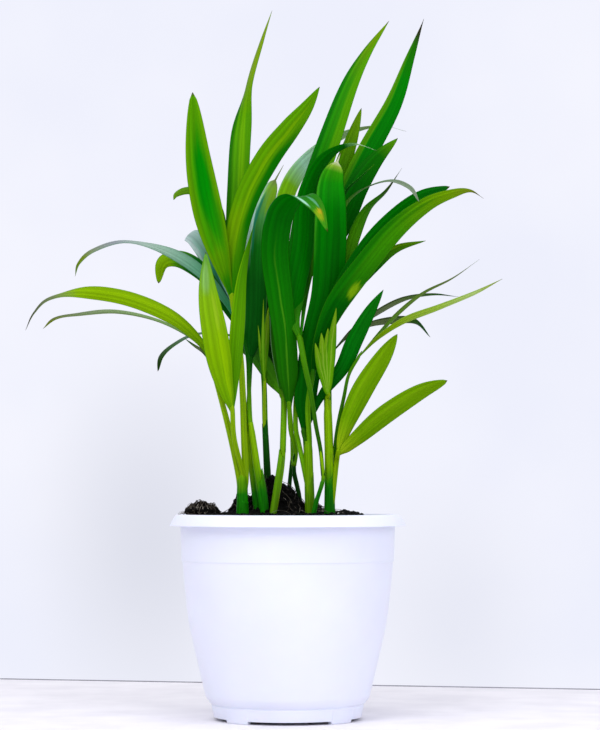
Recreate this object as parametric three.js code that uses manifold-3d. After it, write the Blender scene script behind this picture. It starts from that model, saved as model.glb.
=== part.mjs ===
// A young cane palm clump in a white moulded plastic pot, in millimetres, +Z up.
// The origin is on the pot's own axis, in the plane that its feet stand on.
// The front of the plant faces -Y.
import * as THREE from 'three';
import { mergeVertices } from 'three/addons/utils/BufferGeometryUtils.js';
import Module from 'manifold-3d';

const wasm = await Module();
wasm.setup();

// ---------- driving dimensions ----------

const potHeight = 131;
const rimTopRadius = 72; // outer edge of the lip where it rolls over
const rimSkirtRadius = 76; // widest, at the lower edge of the hanging lip
const rimSkirtDrop = 7.3; // how far the lip hangs down
const neckRadius = 69; // wall just under the lip
const shoulderHeight = 101.8; // fine moulded step round the wall
const shoulderRadius = 67.7;
const shoulderStep = 0.4;
const footHeight = 10; // groove between the wall and the foot band
const footRadius = 49.3;
const footBaseRadius = 47.2;
const wall = 2;
const floorThickness = 2.4;
const floorRecess = 4; // underside of the floor above the table
const footRingWidth = 4;
const padRadius = 9; // flat pad under the middle of the floor, level with the feet
const slotHeight = 1.9; // the four low gaps between the feet
const slotAngle = 68;
const slotTurn = -4; // the front gap sits slightly left of centre
const drainRadius = 4.5;
const drainCircle = 26;
const drainCount = 6;
const potSides = 40;
const floorTop = floorRecess + floorThickness;

const gap = 0.3; // clearance between pieces that touch
const soilLevel = 130.8;
const soilSides = 32;
const bladeThickness = 0.9;
const bladeFold = 0.16; // how far a blade's middle stands off its edges, of its half width
const bladeBase = 0.14; // width where a blade starts, of its widest
const stalkRadius = 1.2;
const stationsPerSpan = 2;

// ---------- materials ----------

const plasticWhite = { color: 0xf1f2f6, roughness: 0.38, metalness: 0 };
const pottingMix = { color: 0x14100d, roughness: 0.95, metalness: 0 };
const stemGreen = { color: 0x3f7a14, roughness: 0.5, metalness: 0 };
const leafDark = { color: 0x0b5f0c, roughness: 0.42, metalness: 0 };
const leafMid = { color: 0x2f8a0c, roughness: 0.42, metalness: 0 };
const leafBright = { color: 0x7fae10, roughness: 0.45, metalness: 0 };

const clodPlace = { x: -54.5, y: -4, long: 10.8, deep: 8, high: 5, sunk: 2.4 };

// ---------- the plant ----------

// Soil heaps: where the middle is, how wide each is along X and Y, and how high it stands.
const heaps = [
  { x: -12, y: 10, spreadX: 9, spreadY: 9, height: 24 },
  { x: -31, y: 9, spreadX: 5.5, spreadY: 8, height: 13 },
  { x: 4, y: 10, spreadX: 6, spreadY: 8, height: 15 },
  { x: 19, y: 8, spreadX: 4, spreadY: 7, height: 5 },
  { x: 37, y: 4, spreadX: 8, spreadY: 12, height: 2 },
];

// Each stem runs through these points; the radius falls from the first value to the second.
const stems = [
  { name: 'stem_1', radius: [3.9, 3.3],
    line: [[-29, -10, 121], [-29, -10, 137], [-29, -10, 156]] },
  { name: 'stem_2', radius: [2.6, 1.9],
    line: [[-19, -2, 121], [-20, -2, 137], [-23, -2, 160], [-26, -2, 184]] },
  { name: 'stem_3', radius: [2.9, 2],
    line: [[-14, -7, 121], [-16, -7, 137], [-20, -6, 163], [-24, -5, 190]] },
  { name: 'stem_4', radius: [2.2, 1.8],
    line: [[-12, 9, 130], [-13, 9, 147], [-14, 9, 173], [-15, 9, 192]] },
  { name: 'stem_5', radius: [2, 1.7],
    line: [[-11, -14, 121], [-7, -10, 143], [-3.5, -4, 166], [-2.5, 8, 202]] },
  { name: 'stem_6', radius: [1.5, 1.2],
    line: [[0, 14, 130], [1, 14, 149], [3, 14, 169]] },
  { name: 'stem_7', radius: [1.3, 1.2],
    line: [[8, 9, 130], [7, 9, 145], [4, 8, 160], [5, 7, 172]] },
  { name: 'stem_8', radius: [3.1, 2.7],
    line: [[15, -5, 121], [14, -5, 140], [13.5, -5, 160], [13, -5, 178]] },
  { name: 'stem_9', radius: [1.3, 1.1],
    line: [[14, -14, 121], [18, -14, 139], [22.5, -13, 153], [21, -11, 172]] },
  { name: 'stem_10', radius: [3.2, 2.5],
    line: [[26.7, -7, 121], [26.7, -7, 145], [26.5, -7, 170], [25.5, -6, 204]] },
];

// Each leaf grows on a stem, at an offset from its axis: on its top, or beside it at a height.
// The stalk runs on to the fork, and every blade starts there.
// width is the blade at its widest, turn its roll in degrees from base to tip (0 faces the front),
// peak where along it the widest place is, tip how blunt the point is (less is blunter),
// and base its width at the fork where that is broader than bladeBase.
const leaves = [
  {
    name: 'leaf_long_left', on: 'stem_1', at: [-2.2, 0.5], look: leafBright, radius: 1.4,
    stalk: [[-36, -12, 179], [-41.5, -16, 201], [-48.3, -18, 226]],
    blades: [
      { line: [[-55, -20, 240], [-73, -24, 257], [-100, -30, 269], [-128, -34, 273], [-150, -38, 268],
        [-160, -39, 258], [-165, -40, 247]], width: 10.5, turn: [8, 66], peak: 0.36, tip: 1.15 },
      { line: [[-59, -13, 242], [-82, -10, 255], [-110, -14, 261], [-135, -26, 258], [-147, -34, 255],
        [-154, -40, 248]], width: 9, turn: [60, 80], peak: 0.5, tip: 0.9 },
    ],
  },
  {
    name: 'leaf_bright_front', on: 'stem_1', at: [0.3, -1.7], look: leafBright,
    stalk: [[-34, -18, 179], [-35, -21, 196]],
    blades: [
      { line: [[-41, -26, 218], [-46, -36, 246], [-50, -46, 272], [-51, -56, 295]],
        width: 14.5, turn: [8, 0], peak: 0.55, tip: 0.75, base: 0.3 },
      { line: [[-34, -18, 220], [-32, -15, 252], [-29, -14, 284], [-22, -12, 316]],
        width: 9.5, turn: [-20, 30], peak: 0.45, tip: 1, base: 0.25 },
    ],
  },
  {
    name: 'leaf_tall_left', on: 'stem_1', at: [2, 0.7], look: leafMid,
    stalk: [[-28, -5, 182], [-29, -1, 208], [-31, 3, 237], [-36, 6, 270]],
    blades: [
      { line: [[-43, 3, 294], [-52, -2, 328], [-57, -8, 362], [-61, -14, 402]],
        width: 21, turn: [0, -6], peak: 0.5, tip: 0.58 },
      { line: [[-35, 12, 303], [-33, 22, 343], [-31, 36, 384], [-26, 47, 418], [-18, 59, 448],
        [-11, 66, 470]],
        width: 13.5, turn: [0, 10], peak: 0.42, tip: 1.5 },
      { line: [[-32, 6, 302], [-24, 3, 336], [-5, -4, 368], [11, -10, 390], [20, -14, 405]],
        width: 16.8, turn: [0, 10], peak: 0.6, tip: 0.65 },
    ],
  },
  {
    name: 'leaf_folded_back', on: 'stem_2', at: [0, 0], look: leafDark,
    stalk: [[-27, 7, 211], [-25, 15, 238]],
    blades: [
      { line: [[-23, 18, 271], [-22, 20, 303], [-18, 22, 327], [-12, 27, 345], [-3, 34, 361]],
        width: 15, turn: [0, 40], peak: 0.5, tip: 0.95 },
      { line: [[-31, 22, 257], [-41, 33, 278], [-53, 48, 302], [-62, 62, 314], [-68, 78, 317],
        [-66, 96, 314]],
        width: 14, turn: [0, -20], peak: 0.5, tip: 0.85 },
    ],
  },
  {
    name: 'leaf_grey_left', on: 'stem_3', at: [0, 0], look: leafMid,
    stalk: [[-25, 1, 211], [-26, 8, 231], [-29, 13, 247]],
    blades: [
      { line: [[-40, 17, 269], [-58, 20, 290], [-80, 18, 303], [-106, 8, 308], [-125, -6, 301],
        [-134, -12, 292], [-136, -16, 283]], width: 12, turn: [0, 118], peak: 0.36, tip: 1.3 },
      { line: [[-39, 25, 264], [-56, 37, 283], [-72, 44, 298], [-83, 46, 297], [-85.5, 45, 290],
        [-85, 44, 283]],
        width: 10, turn: [30, 20], peak: 0.6, tip: 0.8 },
    ],
  },
  {
    name: 'leaf_hooked_back', on: 'stem_4', at: [0.2, 1.1], look: leafMid,
    stalk: [[-16, 17, 222], [-21, 26, 255], [-32, 36, 288]],
    blades: [
      { line: [[-40, 38, 315], [-45, 38, 334], [-55, 34, 344], [-66, 28, 345], [-73, 24, 342],
        [-75, 22, 338]],
        width: 8, turn: [30, 50], peak: 0.45, tip: 0.8 },
      { line: [[-30, 54, 313], [-27, 78, 339], [-22, 106, 359]],
        width: 14, turn: [0, 20], peak: 0.5, tip: 0.85 },
    ],
  },
  {
    name: 'leaf_low_left', on: 'stem_5', at: [0, 0], look: leafDark,
    stalk: [[-3.7, 11, 208]],
    blades: [
      { line: [[-12, 20, 223], [-24, 27, 239], [-41, 31, 249], [-61, 31, 249], [-75, 27, 242],
        [-83, 24, 234], [-85, 22, 224]], width: 11.5, turn: [10, 65], peak: 0.32, tip: 0.9, base: 0.3 },
      { line: [[-6, 28, 252], [-7, 40, 299], [-1, 50, 343], [15, 58, 369], [38, 68, 386], [62, 76, 393],
        [80, 80, 390]], width: 12.5, turn: [20, 80], peak: 0.42, tip: 1.1 },
    ],
  },
  {
    name: 'leaf_arched_centre', on: 'stem_7', at: [0, 0], look: leafDark,
    stalk: [[2, 4, 185], [1, 0, 202], [0.3, -3, 224], [-1, -5, 244]],
    blades: [
      { line: [[-4, -13, 271], [-7, -23, 299], [-3, -35, 322], [7, -50, 331], [18, -64, 323],
        [25, -74, 306]],
        width: 20, turn: [0, 10], peak: 0.42, tip: 0.95 },
      { line: [[3, -4, 275], [10, -4, 304], [14, -3, 330], [23, -3, 353], [40, -9, 364], [61, -20, 361]],
        width: 17, turn: [0, 60], peak: 0.5, tip: 1 },
    ],
  },
  {
    name: 'leaf_tall_right', on: 'stem_9', at: [0, 0], look: leafDark,
    stalk: [[18, -14, 188], [15, -17, 207], [10, -16, 230], [7, -11, 252]],
    blades: [
      { line: [[7, 3, 282], [9, 10, 309], [16, 18, 342], [29, 27, 382], [41, 42, 416], [53, 54, 440],
        [68, 66, 463]],
        width: 17.5, turn: [0, 8], peak: 0.45, tip: 0.9 },
      { line: [[13, 13, 283], [22, 30, 318], [33, 40, 352], [42, 46, 379], [49, 54, 402]],
        width: 11, turn: [0, 10], peak: 0.6, tip: 0.75 },
    ],
  },
  {
    name: 'leaf_tall_far_right', on: 'stem_8', at: [-4.1, 0.4], height: 167, look: leafDark,
    stalk: [[7, 1, 177], [5, 3, 189], [6, 9, 215], [11, 15, 244], [21, 20, 277]],
    blades: [
      { line: [[28, 24, 307], [37, 29, 337], [52.5, 37, 370], [70.3, 46, 404], [82, 60, 437],
        [92, 75, 466]],
        width: 14.3, turn: [0, 10], peak: 0.45, tip: 1.1 },
      { line: [[28, 18, 301], [37, 17, 324], [45, 17, 344], [57, 18, 362], [72, 20, 377]],
        width: 15.5, turn: [0, 0], peak: 0.5, tip: 0.75 },
    ],
  },
  {
    name: 'leaf_round_front', on: 'stem_8', at: [-1, 1.3], look: leafDark,
    stalk: [[10, -2, 189]],
    blades: [
      { line: [[12, -1, 214], [18, -2, 243], [24, -8, 272], [27, -16, 300], [28, -20, 328], [29, -14, 356]],
        width: 21, turn: [0, 0], peak: 0.62, tip: 0.5 },
      { line: [[20.5, -4.8, 205], [34.7, -8, 225.5], [42, -12.5, 244], [51, -18, 261], [61, -23, 274]],
        width: 12, turn: [0, 10], peak: 0.6, tip: 0.75 },
    ],
  },
  {
    name: 'leaf_broad_right', on: 'stem_8', at: [0.9, -1.3], look: leafMid,
    stalk: [[13, -9, 201], [16, -10, 220]],
    blades: [
      { line: [[20, -12, 239], [30, -18, 263], [47.5, -28, 287], [68, -36, 311], [88, -42, 325],
        [105, -47, 331], [115, -50, 332.5], [123, -52, 329]], width: 15.8, turn: [0, 25], peak: 0.3, tip: 0.9 },
      { line: [[22, -13, 247], [33, -15, 276], [51, -17, 302], [68, -21, 320.5], [85, -26, 332.5],
        [103, -31, 339]],
        width: 10, turn: [0, 10], peak: 0.55, tip: 0.75 },
    ],
  },
  {
    name: 'leaf_narrow_right', on: 'stem_10', at: [-0.8, 2], look: leafMid, radius: 0.95,
    stalk: [[25, 0, 224], [27, 4, 247], [33, 6, 270]],
    blades: [
      { line: [[38, 3, 290], [43, -2, 310], [51, -8, 327], [63, -15, 338], [73, -22, 352]],
        width: 9, turn: [0, 70], peak: 0.4, tip: 1.2 },
      { line: [[33, 8, 299], [35, 5, 326], [46, -5, 339], [64, -20, 344], [77, -36, 338], [83, -48, 326]],
        width: 6, turn: [60, 80], peak: 0.5, tip: 1 },
      { line: [[43, 4, 277], [56, 1, 291], [70, -3, 302], [89, -6, 307]],
        width: 7.5, turn: [0, 40], peak: 0.5, tip: 0.8 },
    ],
  },
  {
    name: 'leaf_back_right', on: 'stem_10', at: [1.4, 1.8], look: leafMid, radius: 0.95,
    stalk: [[27, 6, 221], [29, 12, 236]],
    blades: [
      { line: [[39, 17, 246], [52, 19, 254], [69, 17, 257], [83, 12, 256], [92, 0, 245]],
        width: 6.5, turn: [75, 30], peak: 0.6, tip: 0.9 },
      { line: [[41, 24, 250], [57, 31, 262], [76, 33, 272], [95, 30, 275], [112, 24, 273]],
        width: 6.5, turn: [55, 80], peak: 0.45, tip: 1 },
    ],
  },
  {
    name: 'leaf_long_right', on: 'stem_10', at: [3.4, 2.6], height: 165, look: leafBright,
    stalk: [[31, -8, 179], [33, -9, 192], [36, -10, 206], [39, -12, 220], [45, -14, 231]],
    blades: [
      { line: [[57, -19, 243], [74, -26, 254], [96, -34, 262], [118, -42, 270.5], [135, -48, 279]],
        width: 9, turn: [35, 52], peak: 0.4, tip: 1.1 },
      { line: [[58, -8, 246], [72, -2, 261], [88, 4, 274], [107, 10, 284], [125, 16, 297]],
        width: 5.5, turn: [55, 82], peak: 0.35, tip: 1.2 },
    ],
  },
  {
    name: 'leaf_low_right', on: 'stem_10', at: [4.2, -1.6], height: 161, look: leafBright,
    stalk: [[32, -13, 169]],
    blades: [
      { line: [[37.5, -15, 188], [47.5, -16, 210], [61, -17, 231.5], [70, -18, 246]],
        width: 13.5, turn: [0, 0], peak: 0.5, tip: 0.7, base: 0.3 },
      { line: [[44, -20, 179.5], [62, -30, 194.5], [83, -40, 208], [100, -50, 215]],
        width: 12.3, turn: [0, 5], peak: 0.5, tip: 0.58, base: 0.45 },
    ],
  },
  {
    name: 'leaf_back_centre', on: 'stem_6', at: [0, 0], look: leafDark, radius: 1,
    stalk: [[2, 17, 192], [-1, 23, 219], [-3, 32, 242]],
    blades: [
      { line: [[-11, 52, 273], [-17, 76, 302], [-17, 102, 324], [-13, 126, 334]],
        width: 17, turn: [0, 0], peak: 0.5, tip: 0.85 },
      { line: [[6, 50, 273], [15, 72, 304], [20, 96, 331], [25, 122, 350]],
        width: 16, turn: [0, 0], peak: 0.5, tip: 0.85 },
    ],
  },
  {
    name: 'young_leaf_right', on: 'stem_10', at: [0, -1.9], look: leafBright, radius: 0.9,
    stalk: [[26, -10.5, 214]],
    blades: [
      { line: [[28, -16, 235], [29, -20, 248], [31, -25, 262]],
        width: 4.6, turn: [0, 10], peak: 0.45, tip: 1 },
      { line: [[23, -15, 230], [21, -19, 246]], width: 4.6, turn: [0, 0], peak: 0.5, tip: 0.9 },
      { line: [[21, -15, 226], [17, -19, 239]], width: 4, turn: [0, 0], peak: 0.5, tip: 0.9 },
    ],
  },
  {
    name: 'young_leaf_left', on: 'stem_4', at: [-0.2, -1.1], look: leafBright, radius: 0.9,
    stalk: [[-15, 6, 215]],
    blades: [
      { line: [[-15, 3, 237], [-13, 0, 265]], width: 4.2, turn: [0, 0], peak: 0.6, tip: 0.9 },
    ],
  },
];

// ---------- solids ----------

const toSolid = (geometry) => {
  const bare = geometry.clone();
  bare.deleteAttribute('normal');
  bare.deleteAttribute('uv');
  const merged = mergeVertices(bare, 1e-4);
  const vertProperties = new Float32Array(merged.attributes.position.array);
  const triVerts = new Uint32Array(merged.index.array);
  return new wasm.Manifold(new wasm.Mesh({ numProp: 3, vertProperties, triVerts }));
};

const toGeometry = (solid) => {
  const mesh = solid.getMesh();
  const geometry = new THREE.BufferGeometry();
  geometry.setAttribute('position', new THREE.BufferAttribute(new Float32Array(mesh.vertProperties), 3));
  geometry.setIndex(new THREE.BufferAttribute(new Uint32Array(mesh.triVerts), 1));
  return geometry;
};

// Joins rings of points, each with as many points as the next, into one closed skin.
const loft = (rings) => {
  const sides = rings[0].length;
  const positions = rings.flat().flatMap((point) => [point.x, point.y, point.z]);
  const index = [];
  for (let row = 0; row < rings.length - 1; row += 1) {
    for (let side = 0; side < sides; side += 1) {
      const a = row * sides + side;
      const b = row * sides + ((side + 1) % sides);
      index.push(a, b, b + sides, a, b + sides, a + sides);
    }
  }
  const last = (rings.length - 1) * sides;
  for (let side = 1; side < sides - 1; side += 1) {
    index.push(0, side + 1, side);
    index.push(last, last + side, last + side + 1);
  }
  const geometry = new THREE.BufferGeometry();
  geometry.setAttribute('position', new THREE.Float32BufferAttribute(positions, 3));
  geometry.setIndex(index);
  return geometry;
};

const smoothCurve = (points) => {
  const vectors = points.map((point) => new THREE.Vector3(...point));
  return new THREE.CatmullRomCurve3(vectors, false, 'catmullrom', 0.5);
};

// A tube of level rings, so its two ends are flat and level.
const cane = (points, radii, sides, grow = 0) => {
  const curve = smoothCurve(points);
  const steps = (points.length - 1) * stationsPerSpan;
  const rings = [];
  for (let step = 0; step <= steps; step += 1) {
    const along = step / steps;
    const centre = curve.getPoint(along);
    const radius = THREE.MathUtils.lerp(radii[0], radii[1], along) + grow;
    const ring = [];
    for (let side = 0; side < sides; side += 1) {
      const angle = (side / sides) * Math.PI * 2;
      ring.push(new THREE.Vector3(Math.cos(angle) * radius, Math.sin(angle) * radius, 0).add(centre));
    }
    rings.push(ring);
  }
  return loft(rings);
};

// ---------- pot ----------

const wallOutline = [
  [footRadius + 3.2, 14.5],
  [54.4, 22.2],
  [57.4, 35],
  [61.2, 50.5],
  [64.2, 66],
  [66.5, 87],
];

const potGeometry = () => {
  const skirtBottom = potHeight - rimSkirtDrop;
  const outside = [
    [footBaseRadius - footRingWidth, 0],
    [footBaseRadius - 0.6, 0],
    [footBaseRadius, 0.6],
    [footRadius - 0.5, footHeight - 0.8],
    [footRadius - 1, footHeight], // bottom of the groove over the foot band
    [footRadius + 0.6, footHeight + 1],
    ...wallOutline,
    [shoulderRadius + shoulderStep, shoulderHeight - 1],
    [shoulderRadius, shoulderHeight],
    [neckRadius, skirtBottom + 2],
    [neckRadius, potHeight - 2.6], // up inside the hanging lip
    [rimTopRadius - 1.4, potHeight - 2.8],
    [rimSkirtRadius - 1.6, skirtBottom],
    [rimSkirtRadius, skirtBottom],
    [rimTopRadius + 0.4, potHeight - 0.8], // rounded top of the lip
    [rimTopRadius - 0.6, potHeight],
    [neckRadius - 1, potHeight],
    [neckRadius - wall, potHeight - 1.2],
  ];
  const inside = [
    [shoulderRadius - wall, shoulderHeight - 0.5],
    ...wallOutline.toReversed().map(([radius, z]) => [radius - wall, z]),
    [footRadius - wall - 0.4, floorTop + 2],
    [footRadius - wall - 2.4, floorTop],
    [0, floorTop],
    [0, 0],
    [padRadius, 0],
    [padRadius + 1, floorRecess],
    [footBaseRadius - footRingWidth, floorRecess],
    [footBaseRadius - footRingWidth, 0],
  ];
  const profile = [...outside, ...inside].map(([radius, z]) => new THREE.Vector2(radius, z));
  const turned = new THREE.LatheGeometry(profile, potSides);
  turned.rotateX(Math.PI / 2);
  let pot = toSolid(turned);
  for (let hole = 0; hole < drainCount; hole += 1) {
    const angle = (hole / drainCount) * Math.PI * 2;
    const drain = new THREE.CylinderGeometry(drainRadius, drainRadius, 3 * floorThickness, 16);
    drain.rotateX(Math.PI / 2);
    drain.translate(Math.cos(angle) * drainCircle, Math.sin(angle) * drainCircle, floorRecess);
    pot = pot.subtract(toSolid(drain));
  }
  for (let slot = 0; slot < 4; slot += 1) {
    pot = pot.subtract(toSolid(footSlot(slot * 90 + slotTurn)));
  }
  return toGeometry(pot);
};

// One low gap in the foot ring: a block bent round the pot's axis.
const footSlot = (turn) => {
  const outline = new THREE.Shape();
  const half = THREE.MathUtils.degToRad(slotAngle / 2);
  const inner = footBaseRadius - footRingWidth - 2;
  const outer = footBaseRadius + 3;
  outline.absarc(0, 0, outer, -half, half, false);
  outline.absarc(0, 0, inner, half, -half, true);
  outline.closePath();
  const depth = slotHeight + 2;
  const block = new THREE.ExtrudeGeometry(outline, { depth, bevelEnabled: false, curveSegments: 10 });
  block.translate(0, 0, -2);
  block.rotateZ(THREE.MathUtils.degToRad(turn - 90));
  return block;
};

// ---------- soil ----------

const soilHeight = (x, y) => {
  const radius = Math.hypot(x, y);
  let z = soilLevel;
  z -= 3.6 * THREE.MathUtils.smoothstep(x, 40, 58); // settles lower at the right
  z -= 2.2 * THREE.MathUtils.smoothstep(radius, 52, 66);
  for (const heap of heaps) {
    const across = (x - heap.x) / heap.spreadX;
    const deep = (y - heap.y) / heap.spreadY;
    z += heap.height * Math.exp(-(across * across + deep * deep) / 2);
  }
  return z;
};

const soilRing = (radius, z) => {
  const ring = [];
  for (let side = 0; side < soilSides; side += 1) {
    const angle = (side / soilSides) * Math.PI * 2;
    const x = Math.cos(angle) * radius;
    const y = Math.sin(angle) * radius;
    ring.push(new THREE.Vector3(x, y, z ?? soilHeight(x, y)));
  }
  return ring;
};

const soilGeometry = () => {
  const bottom = floorTop + gap;
  const clearance = wall + 2 * gap;
  const surface = [65.8, 60, 53, 46, 40, 35, 30, 25, 20, 15, 10, 5];
  const rings = [
    soilRing(footRadius - wall - 3.4, bottom),
    soilRing(footRadius - wall - 1.2, bottom + 2.4),
    ...wallOutline.map(([radius, z]) => soilRing(radius - clearance, z)),
    soilRing(shoulderRadius - clearance, shoulderHeight - 1),
    ...surface.map((radius) => soilRing(radius)),
  ];
  let soil = toSolid(loft(rings));
  for (const stem of stems) {
    const [x, y, z] = stem.line[0];
    const socket = [[x, y, z - gap], ...stem.line.slice(1)];
    soil = soil.subtract(toSolid(cane(socket, stem.radius, 8, gap)));
  }
  return toGeometry(soil);
};

// A loose clod of fibrous soil that lies on the surface against the rim, at the left.
const clodGeometry = () => {
  const clod = new THREE.IcosahedronGeometry(1, 2);
  const place = clod.attributes.position;
  const bed = Math.max(...[-64, -54, -44].map((x) => soilHeight(x, clodPlace.y + 6))) + gap;
  for (let i = 0; i < place.count; i += 1) {
    const [x, y, z] = [place.getX(i), place.getY(i), place.getZ(i)];
    const lump = 1 + 0.05 * Math.sin(5 * x + 3 * y) + 0.05 * Math.sin(7 * z + 2 * x);
    const height = bed + clodPlace.sunk + z * clodPlace.high * lump;
    const outward = clodPlace.long * lump * x;
    place.setXYZ(i, clodPlace.x + outward, clodPlace.y + clodPlace.deep * lump * y, Math.max(bed, height));
  }
  return toGeometry(toSolid(clod));
};

// ---------- leaves ----------

// How wide the blade is at a place along it, of its widest.
const bladeWidth = (along, { peak, tip, base = bladeBase }) => {
  if (along < peak) return base + (1 - base) * THREE.MathUtils.smoothstep(along, -0.04, peak);
  const left = (1 - along) / (1 - peak);
  return Math.max(0.03, Math.sin((Math.PI / 2) * left) ** tip);
};

// A tapering blade: a shallow folded section carried along its line without twisting of itself.
const bladeGeometry = (fork, blade) => {
  const points = [fork, ...blade.line];
  const curve = smoothCurve(points);
  const steps = (points.length - 1) * stationsPerSpan;
  const front = new THREE.Vector3(0, 1, 0);
  const across = curve.getTangent(0).cross(front).normalize();
  const rings = [];
  for (let step = 0; step <= steps; step += 1) {
    const along = step / steps;
    const centre = curve.getPoint(along);
    const tangent = curve.getTangent(along);
    across.addScaledVector(tangent, -across.dot(tangent)).normalize();
    const turn = THREE.MathUtils.degToRad(THREE.MathUtils.lerp(blade.turn[0], blade.turn[1], along));
    const side = across.clone().applyAxisAngle(tangent, turn);
    const face = tangent.clone().cross(side).normalize();
    const share = bladeWidth(along, blade);
    const half = (blade.width / 2) * share;
    const thick = (bladeThickness / 2) * Math.min(1, 0.3 + share);
    const fold = half * bladeFold;
    rings.push([
      centre.clone().addScaledVector(side, half).addScaledVector(face, -fold / 2),
      centre.clone().addScaledVector(face, fold / 2 + thick),
      centre.clone().addScaledVector(side, -half).addScaledVector(face, -fold / 2),
      centre.clone().addScaledVector(face, fold / 2 - thick),
    ]);
  }
  return loft(rings);
};

// Where a leaf's stalk starts: just above its stem's top, or just clear of the stem's side.
const stalkFoot = (leaf) => {
  const stem = stems.find((entry) => entry.name === leaf.on);
  const top = stem.line.at(-1);
  if (leaf.height === undefined) return [top[0] + leaf.at[0], top[1] + leaf.at[1], top[2] + gap];
  const curve = smoothCurve(stem.line);
  const beside = curve.getPoints(60).reduce((best, point) => (
    Math.abs(point.z - leaf.height) < Math.abs(best.z - leaf.height) ? point : best));
  return [beside.x + leaf.at[0], beside.y + leaf.at[1], leaf.height];
};

const leafGeometry = (leaf) => {
  const fork = leaf.stalk.at(-1);
  const line = [stalkFoot(leaf), ...leaf.stalk];
  const before = new THREE.Vector3(...line.at(-2));
  const end = new THREE.Vector3(...fork);
  const beyond = end.clone().add(end.clone().sub(before).setLength(3.5));
  const radius = leaf.radius ?? stalkRadius;
  let solid = toSolid(cane([...line, beyond.toArray()], [radius, radius * 0.7], 6));
  for (const blade of leaf.blades) {
    solid = solid.add(toSolid(bladeGeometry(fork, blade)));
  }
  return toGeometry(solid);
};

// ---------- assembly ----------

const palm = new THREE.Group();

const addPiece = (name, geometry, look) => {
  const mesh = new THREE.Mesh(geometry, new THREE.MeshStandardMaterial(look));
  mesh.name = name;
  palm.add(mesh);
};

addPiece('pot', potGeometry(), plasticWhite);
addPiece('soil', soilGeometry(), pottingMix);
addPiece('soil_clod', clodGeometry(), pottingMix);
for (const stem of stems) {
  addPiece(stem.name, cane(stem.line, stem.radius, 8), stemGreen);
}
for (const leaf of leaves) {
  addPiece(leaf.name, leafGeometry(leaf), leaf.look);
}

export default palm;
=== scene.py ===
import random
from functools import partial
from math import cos, exp, hypot, pi, radians, sin, sqrt, tan, tau

import bmesh
import bpy
from mathutils import Matrix, Quaternion, Vector, noise


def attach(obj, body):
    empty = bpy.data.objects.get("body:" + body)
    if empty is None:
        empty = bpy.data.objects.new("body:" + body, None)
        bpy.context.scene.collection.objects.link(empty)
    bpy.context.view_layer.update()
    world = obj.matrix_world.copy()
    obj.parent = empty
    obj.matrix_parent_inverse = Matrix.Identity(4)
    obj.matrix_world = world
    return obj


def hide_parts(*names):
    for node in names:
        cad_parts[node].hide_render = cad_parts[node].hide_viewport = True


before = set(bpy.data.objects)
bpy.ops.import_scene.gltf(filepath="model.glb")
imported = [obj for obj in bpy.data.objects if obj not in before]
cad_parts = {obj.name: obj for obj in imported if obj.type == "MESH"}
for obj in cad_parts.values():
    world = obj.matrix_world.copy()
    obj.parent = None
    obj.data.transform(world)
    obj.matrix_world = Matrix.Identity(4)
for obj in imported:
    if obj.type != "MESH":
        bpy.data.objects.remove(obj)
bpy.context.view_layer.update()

mm = 0.001
chance = random.Random(11)


def linearColour(hexText):
    channels = [int(hexText[place:place + 2], 16) / 255 for place in (1, 3, 5)]
    return [c / 12.92 if c <= 0.04045 else ((c + 0.055) / 1.055) ** 2.4 for c in channels] + [1.0]


# Adds one node. A key is a socket's name or number, a property, or "stops" for the places and colours of
# a ramp. A value that is a socket is linked in, and so is the first working output of a node. The numbers
# of MapRange are 0 for the value, 1 and 2 for its range, 3 and 4 for the new one; Mix has 6 and 7 for colours.
def addNode(tree, kind, settings):
    node = tree.nodes.new("ShaderNode" + kind)
    for key, value in settings.items():
        if isinstance(value, bpy.types.Node):
            value = next(output for output in value.outputs if output.enabled)
        elif isinstance(value, str) and value.startswith("#"):
            value = linearColour(value)
        if isinstance(value, bpy.types.NodeSocket):
            tree.links.new(value, node.inputs[key])
        elif key == "stops":
            ramp = node.color_ramp.elements
            while len(ramp) < len(value):
                ramp.new(0.5)
            for element, (place, colour) in zip(ramp, value.items()):
                element.position = place
                element.color = linearColour(colour)
        elif isinstance(key, int) or key in node.inputs:
            node.inputs[key].default_value = value
        else:
            setattr(node, key, value)
    return node


def newMaterial(name):
    material = bpy.data.materials.new(name)
    material.use_nodes = True
    material.node_tree.nodes.clear()
    return material, partial(addNode, material.node_tree)


# A material whose tones follow one pattern, as may its roughness (least, most). bumps: patterns that raise
# it, as (texture, or None for the tones' own, strength, distance in metres).
def patternMaterial(name, texture, stops, surface, bumps=(), rough=None):
    material, add = newMaterial(name)
    place = add("TexCoord", {}).outputs["Object"]
    tones = add(texture[0], {**texture[1], "Vector": place})
    surface = {**surface, "Base Color": add("ValToRGB", {"stops": stops, "Fac": tones})}
    for other, strength, distance in bumps:
        height = add(other[0], {**other[1], "Vector": place}) if other else tones
        below = {"Normal": surface["Normal"]} if "Normal" in surface else {}
        surface["Normal"] = add("Bump", {"Strength": strength, "Distance": distance, "Height": height, **below})
    if rough:
        surface["Roughness"] = add("MapRange", {0: tones, 3: rough[0], 4: rough[1]})
    add("OutputMaterial", {"Surface": add("BsdfPrincipled", surface)})
    return material


# Lays a soft oval of another colour over a tint. location and scale turn the place into the oval's own
# measure, in which the colour fades from the first edge in to the second.
def addSpot(add, tint, place, location, scale, edges, colour, strength):
    spot = add("Mapping", {"Location": location, "Scale": scale, "Vector": place})
    reach = add("VectorMath", {"operation": "LENGTH", 0: spot})
    inside = add("MapRange", {"interpolation_type": "SMOOTHSTEP", 0: reach, 1: edges[0], 2: edges[1], 4: strength})
    return add("Mix", {"data_type": "RGBA", 0: inside, 6: tint, 7: colour})


def smoothStep(value, low, high):
    share = min(1, max(0, (value - low) / (high - low)))
    return share * share * (3 - 2 * share)


def mixed(first, second, share):
    return first + (second - first) * share


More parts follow.
